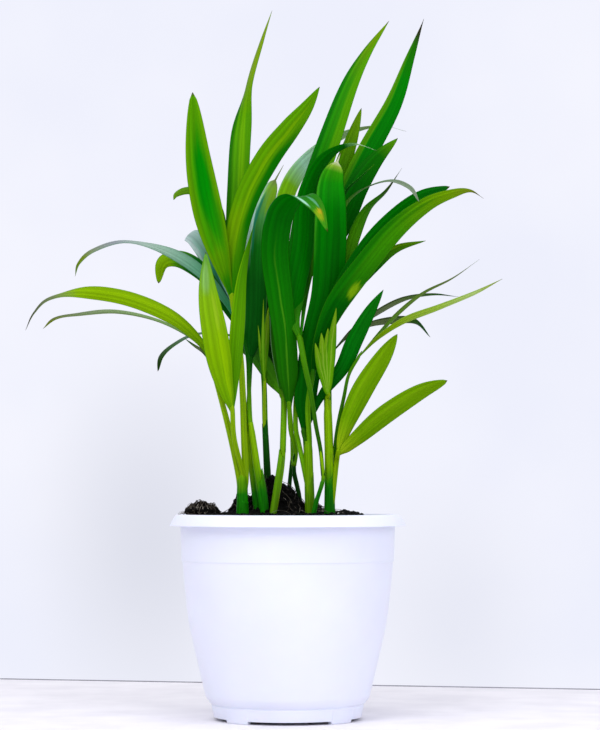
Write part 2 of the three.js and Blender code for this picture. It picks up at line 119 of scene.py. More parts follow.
def around(radius, angle):
    return radius * cos(angle), radius * sin(angle)


# The point and the direction at a share of the way along a smooth line through the points.
def curvePoint(points, along):
    spans = len(points) - 1
    place = min(max(along, 0), 1) * spans
    span = min(int(place), spans - 1)
    t = place - span
    start, end = points[span], points[span + 1]
    before = points[span - 1] if span else start * 2 - end
    after = points[span + 2] if span + 2 <= spans else end * 2 - start
    out, into = (end - before) / 2, (after - start) / 2
    return (start * (2 * t ** 3 - 3 * t ** 2 + 1) + out * (t ** 3 - 2 * t ** 2 + t)
            + end * (3 * t ** 2 - 2 * t ** 3) + into * (t ** 3 - t ** 2))


def curveTangent(points, along):
    low, high = max(0, along - 0.0005), min(1, along + 0.0005)
    return (curvePoint(points, high) - curvePoint(points, low)).normalized()


def addRing(bm, spots):
    return [bm.verts.new(Vector(spot) * mm) for spot in spots]


# Joins rings of vertices into a skin. Every face gets its material and its place in the UV map.
def skinRings(bm, rings, places, slot, capped=True):
    uvLayer = bm.loops.layers.uv.get("tissueMap") or bm.loops.layers.uv.new("tissueMap")
    count = len(rings[0])

    def addFace(corners, spots):
        face = bm.faces.new(corners)
        face.material_index = slot
        face.smooth = True
        for loop, spot in zip(face.loops, spots):
            loop[uvLayer].uv = places(*spot)

    for row, (ring, upper) in enumerate(zip(rings, rings[1:])):
        for side in range(count):
            nextSide = (side + 1) % count
            addFace([ring[side], ring[nextSide], upper[nextSide], upper[side]],
                    [(row, side), (row, side + 1), (row + 1, side + 1), (row + 1, side)])
    if capped:
        addFace(list(reversed(rings[0])), [(0, 0)] * count)
        addFace(rings[-1], [(len(rings) - 1, 0)] * count)


# A round stalk, root or cane. shape gives its radius from the share along it and the angle.
def addTube(bm, points, shape, sides, steps, slot):
    frameSide = Vector((1, 0, 0))
    rings = []
    for step in range(steps + 1):
        along = step / steps
        centre, tangent = curvePoint(points, along), curveTangent(points, along)
        frameSide = (frameSide - tangent * frameSide.dot(tangent)).normalized()
        other = tangent.cross(frameSide)
        angles = [side / sides * tau for side in range(sides)]
        rings.append(addRing(bm, [centre + (frameSide * cos(angle) + other * sin(angle))
                                  * shape(along, angle) for angle in angles]))
    skinRings(bm, rings, lambda row, side: (side / sides, row / steps), slot)


def placeObject(name, content):
    placed = bpy.data.objects.new(name, content)
    bpy.context.scene.collection.objects.link(placed)
    return placed


def placeMesh(name, bm, materials=()):
    mesh = bpy.data.meshes.new(name)
    bm.to_mesh(mesh)
    bm.free()
    for material in materials:
        mesh.materials.append(material)
    return placeObject(name, mesh)


def finishPiece(name, bm, materials, replaced):
    piece = placeMesh(name, bm, materials)
    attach(piece, "root")
    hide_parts(replaced)
    return piece


pot = {
    "sides": 256,
    # radius, height and how far each corner is rounded, round the whole section
    "outline": [
        (43.2, 0, 0.3), (47.2, 0, 0.6), (48.8, 9.2, 0.3), (48.3, 10, 0.3), (49.9, 11, 0.7), (52.5, 14.5, 2),
        (54.4, 22.2, 5), (57.4, 35, 7), (61.2, 50.5, 7), (64.2, 66, 8), (66.5, 87, 8), (67.6, 100.9, 0.3),
        (68.2, 101.6, 0.3), (69, 125.7, 0.5), (69, 128.2, 0.5), (70.8, 128.2, 0.5), (74.6, 123.7, 0.3),
        (76, 123.7, 0.5), (72.6, 130.1, 1.4), (71.2, 131, 0.7), (68, 131, 0.7), (67, 129.8, 0.6),
        (65.7, 101.3, 3), (64.5, 87, 6), (62.2, 66, 6), (59.2, 50.5, 6), (55.4, 35, 6), (52.4, 22.2, 4),
        (50.5, 14.5, 2), (46.9, 8.4, 1), (44.9, 6.4, 1), (0.02, 6.4, 0), (0.02, 0, 0), (9, 0, 0.4), (10, 4, 0.5),
        (43.2, 4, 0.4),
    ],
    "footGapHeight": 1.9, "footGapAngle": 68, "footGapTurn": 2, "footGapEdge": 0.12,
    "drainRadius": 4.5, "drainCircle": 26, "drainCount": 6, "pinLength": 20, "sharpAngle": 50,
}

# Moulded in polypropylene from a polished tool: satin white, with a faint bluish cast, a soft
# broad highlight and the finest orange peel, so that no wide area is quite even.
mouldedPolypropylene = patternMaterial(
    "mouldedPolypropylene", ("TexNoise", {"Scale": 18, "Detail": 3}), {0.3: "#e5e8f6", 0.7: "#eaedfb"},
    {"IOR": 1.49, "Subsurface Weight": 0.05, "Subsurface Scale": 0.002},
    # orange peel 1.1 mm across; the real one is about 0.5 mm and would not show
    [(("TexNoise", {"Scale": 900, "Detail": 1}), 0.03, 0.0002)], rough=(0.34, 0.44))


# Rounds each corner of a closed outline by its own reach.
def roundedOutline(corners):
    outline = []
    for at, (radius, height, reach) in enumerate(corners):
        corner = Vector((radius, height))
        before = Vector(corners[at - 1][:2]) - corner
        after = Vector(corners[(at + 1) % len(corners)][:2]) - corner
        cut = min(reach, before.length * 0.49, after.length * 0.49)
        if cut < 0.05:
            outline.append(corner)
            continue
        first, last = corner + before.normalized() * cut, corner + after.normalized() * cut
        for t in (0, 0.25, 0.5, 0.75, 1):
            outline.append(first * (1 - t) ** 2 + corner * 2 * t * (1 - t) + last * t ** 2)
    return outline


# Round holes through the floor: a set of pins is taken away from the pot, then thrown out.
def cutDrainHoles(piece):
    bm = bmesh.new()
    for hole in range(pot["drainCount"]):
        turn = hole / pot["drainCount"] * tau
        place = Matrix.Translation(Vector((*around(1, turn), 0)) * pot["drainCircle"] * mm)
        bmesh.ops.create_cone(bm, cap_ends=True, segments=32, radius1=pot["drainRadius"] * mm,
                              radius2=pot["drainRadius"] * mm, depth=pot["pinLength"] * mm, matrix=place)
    pins = placeMesh("drainPins", bm)
    cut = piece.modifiers.new("drainHoles", "BOOLEAN")
    cut.object = pins
    cut.operation = "DIFFERENCE"
    cut.solver = "EXACT"
    holed = bpy.data.meshes.new_from_object(piece.evaluated_get(bpy.context.evaluated_depsgraph_get()))
    piece.modifiers.clear()
    piece.data = holed
    bpy.data.meshes.remove(pins.data)  # takes its object with it


def buildPot():
    section = roundedOutline(pot["outline"])
    half, gap = pot["footGapAngle"] / 2, pot["footGapHeight"]
    angles = [side / pot["sides"] * 360 for side in range(pot["sides"])]
    gapMiddles = [pot["footGapTurn"] - 90 + 90 * quarter for quarter in range(4)]
    for middle in gapMiddles:
        for edge in (middle - half, middle + half):
            angles += [(edge - pot["footGapEdge"]) % 360, (edge + pot["footGapEdge"]) % 360]
    bm = bmesh.new()
    rings = []
    for angle in sorted(angles):
        inGap = any(abs((angle - middle + 180) % 360 - 180) < half for middle in gapMiddles)
        ring = []
        for radius, height in section:
            if inGap and radius > 40 and height < gap:  # only the foot ring is raised
                height = gap + height * 0.1
            ring.append((*around(radius, radians(angle)), height))
        rings.append(addRing(bm, ring))
    rings.append(rings[0])
    skinRings(bm, rings, lambda row, side: (row / len(rings), side / len(section)), 0, capped=False)
    bmesh.ops.recalc_face_normals(bm, faces=bm.faces)
    piece = finishPiece("plant_pot", bm, [mouldedPolypropylene], "pot")
    cutDrainHoles(piece)
    piece.data.set_sharp_from_angle(angle=radians(pot["sharpAngle"]))


buildPot()
print("pot done")

soil = {
    "level": 130.8, "radius": 66.4, "rings": 110, "sides": 300,
    # radius and height of the side of the filling, from the pot's floor up
    "side": [(43.5, 6.9), (45.9, 9.1), (49.9, 14.5), (51.8, 22.2), (54.8, 35), (58.6, 50.5), (61.6, 66), (63.9, 87),
             (65.1, 100.8)],
    # middle, spread along X and Y, and height of each heap round the stems
    "heaps": [(-12, 10, 8.5, 9, 24), (-30.4, 9, 3.4, 6, 13), (4, 10, 6, 8, 10), (19, 8, 4, 7, 4), (37, 4, 8, 12, 2)],
    "crumbs": 1100, "grit": 7, "roots": 90, "crumbReach": 63,
}

# Damp peat and coir, loosely filled: near black and open, so light is lost between the crumbs, which
# are 1.4 mm across; fibres and drier crumbs catch a brown glint.
dampPottingMix = patternMaterial(
    "dampPottingMix", ("TexNoise", {"Scale": 420, "Detail": 5, "Distortion": 1.6}),
    {0.5: "#020201", 0.64: "#070504", 0.74: "#15100b", 0.86: "#43382c"}, {"IOR": 1.4, "Specular IOR Level": 0.12},
    [(("TexVoronoi", {"Scale": 700}), 0.9, 0.0008), (None, 0.7, 0.0005)], rough=(0.62, 0.95))

# Dead and living roots, air-dried: matt tan and grey-brown, banded along their length.
dryRootFibre = patternMaterial(
    "dryRootFibre", ("TexNoise", {"Scale": 160, "Detail": 4}), {0.35: "#14110d", 0.55: "#443c30", 0.75: "#a8a294"},
    {"IOR": 1.45, "Roughness": 0.7, "Specular IOR Level": 0.3}, [(None, 0.5, 0.0002)])

# Expanded perlite, crushed: white foamed glass grains, chalky with small dark pores 0.4 mm across.
crushedPerlite = patternMaterial(
    "crushedPerlite", ("TexVoronoi", {"Scale": 2600}), {0.0: "#8d8a84", 0.35: "#e8e6e0"},
    {"IOR": 1.5, "Roughness": 0.85})


def soilHeight(x, y):
    height = soil["level"] - 3.6 * smoothStep(x, 40, 58) - 2.2 * smoothStep(hypot(x, y), 52, 66)
    for middleX, middleY, spreadX, spreadY, rise in soil["heaps"]:
        height += rise * exp(-(((x - middleX) / spreadX) ** 2 + ((y - middleY) / spreadY) ** 2) / 2)
    return height


ball = bmesh.new()
bmesh.ops.create_icosphere(ball, subdivisions=2, radius=1)
ball.verts.index_update()
lumpSpots = [vertex.co.copy() for vertex in ball.verts]
lumpFaces = [[corner.index for corner in face.verts] for face in ball.faces]
ball.free()


# One lump of mix or grain of grit: a ball pushed out of shape.
def addLump(bm, centre, size, slot, rough=0.35):
    seed = Vector((chance.random(), chance.random(), chance.random())) * 60
    stretch = Vector([size * chance.uniform(0.7, 1.35) for _ in range(3)])
    spin = Quaternion(Vector((chance.random() - 0.5, chance.random() - 0.5, chance.random())), chance.uniform(0, 6))
    corners = addRing(bm, [Vector(centre) + spin @ (spot * stretch * (
        1 + rough * noise.fractal(spot * 1.9 + seed, 0.8, 2.1, 3))) for spot in lumpSpots])
    for corner in lumpFaces:
        face = bm.faces.new([corners[at] for at in corner])
        face.material_index = slot
        face.smooth = True


# A thread that lies over the surface or stands out of it. Its length, lift and radius are drawn from ranges.
def addRoot(bm, x, y, lengths, lifts, radii, slot, ground):
    points = [Vector((x, y, ground(x, y)))]
    heading = chance.uniform(0, tau)
    length, lift, radius = chance.uniform(*lengths), chance.uniform(*lifts), chance.uniform(*radii)
    for step in range(1, 6):
        heading += chance.uniform(-0.7, 0.7)
        x = points[-1].x + cos(heading) * length / 5
        y = points[-1].y + sin(heading) * length / 5
        arch = lift * sin(step / 5 * pi)
        points.append(Vector((x, y, ground(x, y) + arch + chance.uniform(-0.3, 0.3))))
    addTube(bm, points, lambda along, angle: radius * (1.05 - 0.6 * along), 6, 20, slot)


def nearHeap(wider, shift):
    x, y, spreadX, spreadY, _rise = chance.choice(soil["heaps"][:4])
    return chance.gauss(x, spreadX * wider), chance.gauss(y + shift, spreadY * wider)


def overDisc(reach):
    return around(reach * sqrt(chance.random()), chance.uniform(0, tau))


def buildSoil():
    bm = bmesh.new()
    angles = [side / soil["sides"] * tau for side in range(soil["sides"])]
    rings = [addRing(bm, [(*around(radius, angle), height) for angle in angles]) for radius, height in soil["side"]]
    for row in range(soil["rings"]):
        radius = mixed(soil["radius"], 0.6, row / (soil["rings"] - 1))
        calm = 1 if radius < 60 else 0.45
        ring = []
        for angle in angles:
            x, y = around(radius, angle)
            coarse = noise.fractal(Vector((x, y, 0)) * 0.16, 0.9, 2.1, 3)
            fine = noise.fractal(Vector((x, y, 7)) * 0.75, 0.8, 2.2, 4)
            heap = min(1, max(0, soilHeight(x, y) - 132) / 5)
            lift = (coarse * 1.1 + fine * (0.8 + 1.1 * heap)) * calm
            ring.append((x, y, soilHeight(x, y) + lift))
        rings.append(addRing(bm, ring))
    skinRings(bm, rings, lambda row, side: (side / soil["sides"], row / len(rings)), 0)
    for _ in range(soil["crumbs"]):
        x, y = nearHeap(1.1, 0) if chance.random() < 0.6 else overDisc(62)
        if hypot(x, y) < soil["crumbReach"]:
            addLump(bm, (x, y, soilHeight(x, y) + chance.uniform(-0.6, 0.5)), chance.uniform(0.5, 1.5), 0)
    for _ in range(soil["grit"]):
        x, y = overDisc(60)
        addLump(bm, (x, y, soilHeight(x, y) + 0.6), chance.uniform(0.35, 0.75), 2, 0.2)
    for _ in range(soil["roots"]):
        addRoot(bm, *nearHeap(1, -3), (7, 20), (0.8, 3.6), (0.14, 0.32), 1, soilHeight)
    finishPiece("soil_surface", bm, [dampPottingMix, dryRootFibre, crushedPerlite], "soil")


buildSoil()
print("soil done")

# A lump of half dry fibrous mix on the left of the surface.
clod = {"x": -55, "y": -4, "long": 11.5, "deep": 8, "high": 8.4, "lumps": 330, "fibres": 110, "damp": 2.6}

# The same mix dried to a crust: brown and matt on top, with the dark mix below.
driedFibreCrust = patternMaterial(
    "driedFibreCrust", ("TexNoise", {"Scale": 520, "Detail": 5, "Distortion": 2.2}),
    {0.46: "#080705", 0.58: "#2c241a", 0.7: "#5c5444", 0.84: "#a09478"},
    {"IOR": 1.45, "Roughness": 0.9, "Specular IOR Level": 0.25}, [(None, 0.9, 0.0006)])


def buildClod():
    bm = bmesh.new()
    bed = soilHeight(clod["x"] + 8, clod["y"])

    def clodHeight(x, y):
        across, deep = (x - clod["x"]) / clod["long"], (y - clod["y"]) / clod["deep"]
        inside = max(0, 1 - across * across - deep * deep)
        return bed + clod["high"] * sqrt(inside) * (0.8 + 0.35 * noise.noise(Vector((x, y, 3)) * 0.35))

    for _ in range(clod["lumps"]):
        reach, angle = sqrt(chance.random()) * 0.92, chance.uniform(0, tau)
        x = clod["x"] + clod["long"] * reach * cos(angle)
        y = clod["y"] + clod["deep"] * reach * sin(angle)
        z = mixed(bed + 0.6, clodHeight(x, y) - 0.5, chance.random() ** 0.5)
        size = chance.uniform(0.8, 1.9)
        addLump(bm, (x, y, z), size, 0 if z < bed + clod["damp"] else chance.choice((0, 1)), 0.6)
    for _ in range(clod["fibres"]):
        x, y = chance.gauss(clod["x"], clod["long"] * 0.45), chance.gauss(clod["y"], clod["deep"] * 0.4)
        addRoot(bm, x, y, (4, 9), (0.4, 2.2), (0.12, 0.26), 2, clodHeight)
    finishPiece("peat_clod", bm, [dampPottingMix, driedFibreCrust, dryRootFibre], "soil_clod")


buildClod()
print("clod done")

# Canes of leaf sheaths wrapped round each other, each as (look, radius at the base and at the top, outer
# sheath, points up the cane); a sheath as (height of its mouth, rise and direction in degrees of its point).
stems = {
    "stem_1": ("greenFoot", (3.9, 3.3), (139, 7, 180), [(-29, -10, 121), (-29, -10, 137), (-29, -10, 156)]),
    "stem_2": ("greenFoot", (2.6, 1.9), (158, 9, -20), [(-19, -2, 121), (-20, -2, 137), (-23, -2, 160),
        (-26, -2, 184)]),
    "stem_3": ("greenFoot", (2.9, 2), (152, 9, 10), [(-14, -7, 121), (-16, -7, 137), (-20, -6, 163), (-24, -5, 190)]),
    "stem_4": ("deep", (2.2, 1.8), (182, 8, 180), [(-12, 9, 130), (-13, 9, 147), (-14, 9, 173), (-15, 9, 192)]),
    "stem_5": ("olive", (2, 1.7), (168, 5, 200), [(-11, -14, 121), (-7, -10, 143), (-3.5, -4, 166), (-2.5, 8, 202)]),
    "stem_6": ("deep", (1.5, 1.2), (), [(0, 14, 130), (1, 14, 149), (3, 14, 169)]),
    "stem_7": ("deep", (1.3, 1.2), (157, 5, 0), [(8, 9, 130), (7, 9, 145), (4, 8, 160), (5, 7, 172)]),
    "stem_8": ("olive", (3.1, 2.7), (150, 8, -10), [(15, -5, 121), (14, -5, 140), (13.5, -5, 160), (13, -5, 178)]),
    "stem_9": ("greenFoot", (1.3, 1.1), (152, 4, 30), [(14, -14, 121), (18, -14, 139), (22.5, -13, 153),
        (21, -11, 172)]),
    "stem_10": ("greenFoot", (3.3, 2.6), (153, 12, 20), [(26.7, -7, 121), (26.7, -7, 145), (26.5, -7, 170),
        (25.5, -6, 204)]),
}

# Colours of canes and stalks, low and high, and the heights in metres between which they turn.
caneLooks = {
    "greenFoot": ("#188800", "#8cc000", 0.143, 0.166),
    "greenFootSheath": ("#147c00", "#70b400", 0.145, 0.17),
    "olive": ("#94a010", "#78b000", 0.128, 0.15),
    "oliveSheath": ("#5c9000", "#64a400", 0.128, 0.165),
    "deep": ("#083c04", "#0c5c04", 0.14, 0.185),
    "deepSheath": ("#083404", "#145c08", 0.14, 0.185),
    "stalk": ("#8cb800", "#90bc04", 0.15, 0.21),
    "darkStalk": ("#6cac00", "#0c6400", 0.195, 0.225),
    "shadeStalk": ("#2c6c00", "#4c9000", 0.185, 0.235),
}


# Living sheath tissue, grown in long ribs: smooth and waxy, deep green below and yellower above,
# with fine pale lines along it and a faint wax bloom.
def palmSheathTissue(name, lowColour, highColour, turnFrom, turnTo):
    material, add = newMaterial("palmSheathTissue_" + name)
    place = add("TexCoord", {}).outputs["Object"]
    patches = add("TexNoise", {"Scale": 60, "Detail": 2, "Vector": place})
    uneven = add("MapRange", {0: patches, 3: -0.012, 4: 0.012})
    risen = add("Math", {"operation": "ADD", 0: add("SeparateXYZ", {0: place}).outputs["Z"], 1: uneven})
    share = add("MapRange", {0: risen, 1: turnFrom, 2: turnTo})
    tint = add("ValToRGB", {"stops": {0: lowColour, 1: highColour}, "Fac": share})
    # 26 ribs round a cane, 0.6 mm apart
    stretched = add("Mapping", {"Scale": (26, 1.2, 1), "Vector": add("UVMap", {"uv_map": "tissueMap"})})
    ribs = add("TexNoise", {"Scale": 1, "Detail": 2, "noise_dimensions": "2D", "Vector": stretched})
    lighter = add("ValToRGB", {"stops": {0.35: "#a8b0a0", 0.7: "#f4f4e8"}, "Fac": ribs})
    ribbed = add("Mix", {"data_type": "RGBA", "blend_type": "MULTIPLY", 0: 0.8, 6: tint, 7: lighter})
    relief = add("Bump", {"Strength": 0.35, "Distance": 0.0003, "Height": ribs})
    add("OutputMaterial", {"Surface": add("BsdfPrincipled", {
        "IOR": 1.42, "Roughness": 0.42, "Specular IOR Level": 0.06, "Base Color": ribbed, "Normal": relief})})
    return material


caneMaterials = {name: palmSheathTissue(name, *look) for name, look in caneLooks.items()}


# An outer sheath: a thin open sleeve round the cane that ends in a slanting mouth with a point.
def addSheath(bm, points, radius, mouth, rise, direction):
    sides, steps = 28, 16
    foot, top = points[0].z, points[-1].z
    rings = []
    for step in range(steps + 1):
        ring = []
        for side in range(sides):
            angle = side / sides * tau
            toPoint = 0.5 + 0.5 * cos(angle - radians(direction))
            z = mixed(foot, mouth + rise * toPoint ** 3, step / steps)
            along = (z - foot) / (top - foot)
            centre = curvePoint(points, along)
            reach = mixed(*radius, along) + mixed(0.45, 0.12, step / steps)
            x, y = around(reach * (1 + 0.04 * cos(5 * angle)), angle)
            ring.append((centre.x + x, centre.y + y, z))
        rings.append(addRing(bm, ring))
    inner = []  # the mouth's edge turns in and down, so that the sleeve shows no open rim
    for vertex in rings[-1]:
        z = vertex.co.z / mm
        centre = curvePoint(points, (z - foot) / (top - foot))
        inward = (Vector((centre.x, centre.y, z)) - vertex.co / mm) * 0.22
        inner.append(bm.verts.new(vertex.co + (inward + Vector((0, 0, -1.2))) * mm))
    rings.append(inner)
    skinRings(bm, rings, lambda row, side: (side / sides, row / steps), 1, capped=False)


def buildStem(name, look, radius, sheath, line):
    points = [Vector(point) for point in line]

    def caneRadius(along, angle):
        reach = mixed(*radius, along) * (1 + 0.03 * cos(4 * angle + 1))
        return reach * (1 - 0.38 * smoothStep(along, 0.9, 1) * (0.6 + 0.4 * cos(angle - 2)))

    bm = bmesh.new()
    addTube(bm, points, caneRadius, 28, 40, 0)
    if sheath:
        addSheath(bm, points, radius, *sheath)
    finishPiece(name + "_cane", bm, [caneMaterials[look], caneMaterials[look + "Sheath"]], name)


for name, stem in stems.items():
    buildStem(name, *stem)
print("stems done")

# Colours of leaflets, each as (from fork to tip, both margins, where these start from the midrib at 0 to the
# rim at 1, lower side, patches); a patch as (across, along, half width, half length, colour, strength), where
# across runs from the right-hand edge at 0 to the left-hand one at 1. Some patches and some looks are painted
# highlight, sheen and shade, as noted at each.
bladeLooks = {
    "tallLeftBroad": ({0.04: "#1f7c00", 0.3: "#3f9600",
        0.95: "#529a00"}, "#6aa200", 0.45, "#5fa050", [(0.44, 0.63, 0.33, 0.27, "#008c00", 1),
        (0.3, 0.46, 0.3, 0.13, "#0c8a00", 0.6), (0.55, 0.24, 0.5, 0.1, "#6c9e00", 0.5)]),
    "tallLeftNarrow": ({0.04: "#2c8400", 0.3: "#4c9800", 0.55: "#509800", 0.7: "#78a000",
        0.95: "#7c9c00"}, "#3a8800", 0.85, {0: "#6aa85c", 1: "#7c9c20"}, [(1, 0.6, 0.26, 0.62, "#146c00", 0.9),
        (0.4, 0.4, 0.16, 0.3, "#70ac00", 0.6)]),
    "tallLeftRight": ({0.04: "#2f8a00", 0.3: "#5c9c00",
        0.95: "#569a00"}, "#4a9000", 0.85, "#6aa85c", [(0.08, 0.42, 0.3, 0.34, "#007a00", 0.95),
        (0.5, 0.55, 0.09, 0.4, "#7cb200", 0.65), (0.7, 0.2, 0.34, 0.13, "#7eaa00", 0.6)]),
    # The blue-white patch near the left-hand edge is partly the paler lower side turned to view and partly painted
    # sheen.
    "foldedFront": ({0.3: "#0a5c10", 0.44: "#107814", 0.6: "#54a850", 0.8: "#84b838",
        0.87: "#7c8c50"}, "#5ca050", 0.9, {0: "#9cc8b8", 1: "#b4d8d0"}, [(0.94, 0.6, 0.24, 0.24, "#d4fcf0", 1),
        (0.68, 0.6, 0.09, 0.2, "#1c8468", 0.85), (0.25, 0.72, 0.24, 0.14, "#84b81c", 0.8)]),
    "paleStrip": ({0.28: "#206c00", 0.36: "#84d000", 0.46: "#88cc18", 0.54: "#b4ecc8", 0.7: "#94bc80",
        0.9: "#6c8430"}, "#94c888", 0.88, {0: "#b4ecc8", 1: "#8cb090"}),
    # The whitish grey middle of this blade is a painted highlight on a dark green leaf.
    "greyLeft": ({0.1: "#1c7c48", 0.3: "#68a884", 0.5: "#a0b8a8", 0.62: "#8c9498", 0.8: "#6c8418",
        0.95: "#587808"}, "#5c9474", 0.8, {0.4: "#8cb49c", 0.7: "#7c8c60"}),
    "backStub": ({0.05: "#003c14", 0.3: "#004c30", 0.42: "#2c7c5c", 0.6: "#7ca494",
        0.9: "#bcd0cc"}, "#4c8c70", 0.88, {0: "#2c7450", 0.7: "#9cbcb0"}, [(0.5, 0.26, 0.1, 0.16, "#9ccccc", 0.8),
        (0.9, 0.7, 0.14, 0.3, "#cce0dc", 0.6)]),
    "brightFront": ({0.04: "#649c00", 0.4: "#82b600", 0.7: "#88be10",
        0.95: "#6cb038"}, "#6cac00", 0.86, "#8ab070", [(0.6, 0.84, 0.3, 0.12, "#94cc70", 0.6),
        (0.3, 0.3, 0.16, 0.3, "#9ccc00", 0.5), (0.3, 0.62, 0.12, 0.14, "#a4cc28", 0.5)]),
    "brightFrontBack": ({0.04: "#4c9000", 0.5: "#5c9c00",
        0.95: "#3c8600"}, "#4c9000", 0.86, "#6f9c30", [(1, 0.5, 0.2, 0.55, "#74b000", 0.7)]),
    "longLeft": ({0.04: "#588c04", 0.3: "#7caa00", 0.6: "#7ea800", 0.7: "#6c7c50",
        0.95: "#3c3c30"}, "#6c9804", 0.86, {0.5: "#8aa860", 0.7: "#747c60"}, [(0.35, 0.4, 0.16, 0.4, "#8cb800", 0.6)]),
    "longLeftBack": ({0.05: "#5c9418", 0.35: "#86a868", 0.6: "#8aa070", 0.9: "#6c7c1c"}, "#5c7820", 0.8, {0: "#8ca468",
        1: "#7c8830"}),
    "hookBack": ({0.05: "#0c5c04", 0.5: "#4c8c10", 0.9: "#6c9c14"}, "#4c7c08", 0.8, "#5c9040"),
    "lowLeft": ({0.05: "#4c9810", 0.2: "#3c8810", 0.33: "#2c6c30", 0.5: "#6c9078", 0.72: "#3c6034",
        0.95: "#1c3c04"}, "#2c5c14", 0.86, {0: "#5c9448", 1: "#4c6c30"}),
    # The pale blue-green spots at the left-hand edge and over the arch are painted highlight and sheen; the yellow
    # band and orange spot near the tip are the leaf's own colour.
    "archedFront": ({0.05: "#1c6800", 0.4: "#0c7400", 0.6: "#006800", 0.82: "#007c00",
        0.95: "#2c7c08"}, "#006000", 0.92, {0.75: "#0c6c10", 0.97: "#3c8c10"}, [(1, 0.66, 0.04, 0.08, "#6cb890", 0.8),
        (0.85, 0.81, 0.1, 0.06, "#a8dcc4", 0.8), (0.4, 0.84, 0.1, 0.06, "#6cb88c", 0.7),
        (0.6, 0.92, 0.4, 0.04, "#90a410", 0.8), (0.5, 0.905, 0.2, 0.018, "#c8a420", 0.55),
        (0.5, 0.24, 0.05, 0.3, "#58a018", 0.4)]),
    "archedBack": ({0.05: "#0c6800", 0.4: "#007000", 0.84: "#006c00", 0.89: "#7cc070",
        0.92: "#d0fcc0"}, "#005400", 0.95, {0.83: "#006400", 0.88: "#a4dc98", 0.92: "#d8fcc8"}),
    "tallRight": ({0.04: "#347c08", 0.12: "#2c7c08", 0.24: "#0c6c00", 0.4: "#007c00", 0.75: "#2c8a00",
        0.95: "#6c9400"}, "#0c6c00", 0.9, {0: "#4f9a3a", 1: "#6c9c20"}, [(0.1, 0.66, 0.36, 0.4, "#509800", 0.9),
        (1, 0.6, 0.3, 0.4, "#006c00", 0.9)]),
    "tallRightInner": ({0.05: "#1c7000", 0.6: "#469000", 0.95: "#6ca004"}, "#3c8400", 0.8, "#5c9030"),
    "tallFarRight": ({0.05: "#005000", 0.4: "#006c00", 0.75: "#007c00", 0.88: "#1c6c00",
        0.94: "#2c2c18"}, "#006000", 0.9, {0: "#4f9a3a", 1: "#4c6c30"}, [(0.95, 0.6, 0.26, 0.34, "#4c8c00", 0.9)]),
    "farRightLow": ({0.05: "#004c00", 0.6: "#005800", 0.84: "#0c6800", 0.97: "#4c8c00"}, "#005000", 0.86, "#4f9a3a"),
    "roundFront": ({0.05: "#005800", 0.4: "#006400", 0.72: "#007800", 0.84: "#0c8400", 0.9: "#2c8c00", 0.93: "#84ac30",
        0.95: "#c4cca0"}, "#006c00", 0.85, {0: "#2c7c30", 1: "#8ca460"}, [(1, 0.74, 0.14, 0.2, "#3c9c18", 0.7),
        (0.3, 0.5, 0.2, 0.3, "#005400", 0.6)]),
    "roundFrontSide": ({0.05: "#004a00", 0.5: "#007008", 0.95: "#0a7008"}, "#005000", 0.85, "#4f9a5a"),
    "broadRight": ({0.1: "#004c00", 0.27: "#005c00", 0.34: "#207800", 0.5: "#3c8e00", 0.72: "#70a000", 0.86: "#7c9418",
        0.95: "#5c5028"}, "#3c8400", 0.88, {0: "#5fa050", 1: "#6c6c30"}, [(0.95, 0.38, 0.3, 0.26, "#0a6c00", 0.8),
        (0.62, 0.55, 0.12, 0.12, "#2a7c00", 0.6), (0.22, 0.318, 0.26, 0.034, "#7cac08", 1)]),
    "broadRightBack": ({0.1: "#004c00", 0.5: "#006800", 0.8: "#007400", 0.95: "#0a6c10"}, "#005c00", 0.88, "#4f9a5a"),
    "narrowRight": ({0.05: "#2c7c00", 0.4: "#469004", 0.7: "#2c7c00", 0.88: "#3c4c14"}, "#1c6800", 0.8, "#5fa050"),
    "hookRight": ({0.1: "#0c5c00", 0.45: "#4c9014", 0.6: "#4c6c28", 0.68: "#7c8c74", 0.82: "#8c9c80",
        0.92: "#5c9038"}, "#3c7410", 0.6, {0.4: "#3c8414", 0.7: "#74886c"}),
    "smallRight": ({0.1: "#005000", 0.5: "#0c6c00",
        0.9: "#4c8400"}, "#0c5c00", 0.8, "#4f9a3a", [(1, 0.8, 0.4, 0.3, "#5c8c00", 0.8)]),
    "backRight": ({0.1: "#3c5c28", 0.5: "#6c7c50", 0.7: "#4c7424", 0.9: "#0c5c14"}, "#2c3c18", 0.5, {0: "#6c7450",
        1: "#3c6c30"}),
    "longRight": ({0.05: "#4c8000", 0.35: "#84ac04", 0.6: "#a4cc40", 0.8: "#bcdc78",
        0.96: "#9cb040"}, "#8cb430", 0.8, {0: "#7aa860", 1: "#9cb470"}),
    "longRightBack": ({0.05: "#3c7c08", 0.4: "#5c8824", 0.9: "#6c7c3c"}, "#4c6410", 0.7, "#7c9450"),
    "lowRight": ({0.1: "#94b810", 0.3: "#689c00",
        0.9: "#6c9c00"}, "#588c00", 0.88, "#7aa860", [(0.62, 0.5, 0.1, 0.5, "#7eb008", 0.6),
        (0.3, 0.4, 0.08, 0.4, "#5c9000", 0.6)]),
    # Near-black green blades deep at the back: painted shade, filling the dark gaps between the leaves.
    "backCentre": ({0.05: "#004400", 0.3: "#003400", 0.6: "#004400", 0.9: "#0c5c04"}, "#002c00", 0.85, {0: "#1c6420",
        1: "#3c7c40"}),
    "hookLeft": ({0.1: "#005008", 0.48: "#006010", 0.64: "#4c9008", 0.76: "#7cac00"}, "#3c7c04", 0.88, {0: "#2c7c30",
        1: "#6c9c30"}),
    "spear": ({0.05: "#64a404", 0.5: "#549404", 0.95: "#78a414"}, "#3c8404", 0.6, {0: "#6f9c30",
        1: "#7ca430"}, [(0.5, 0.5, 0.12, 0.6, "#94bc38", 0.5)]),
}

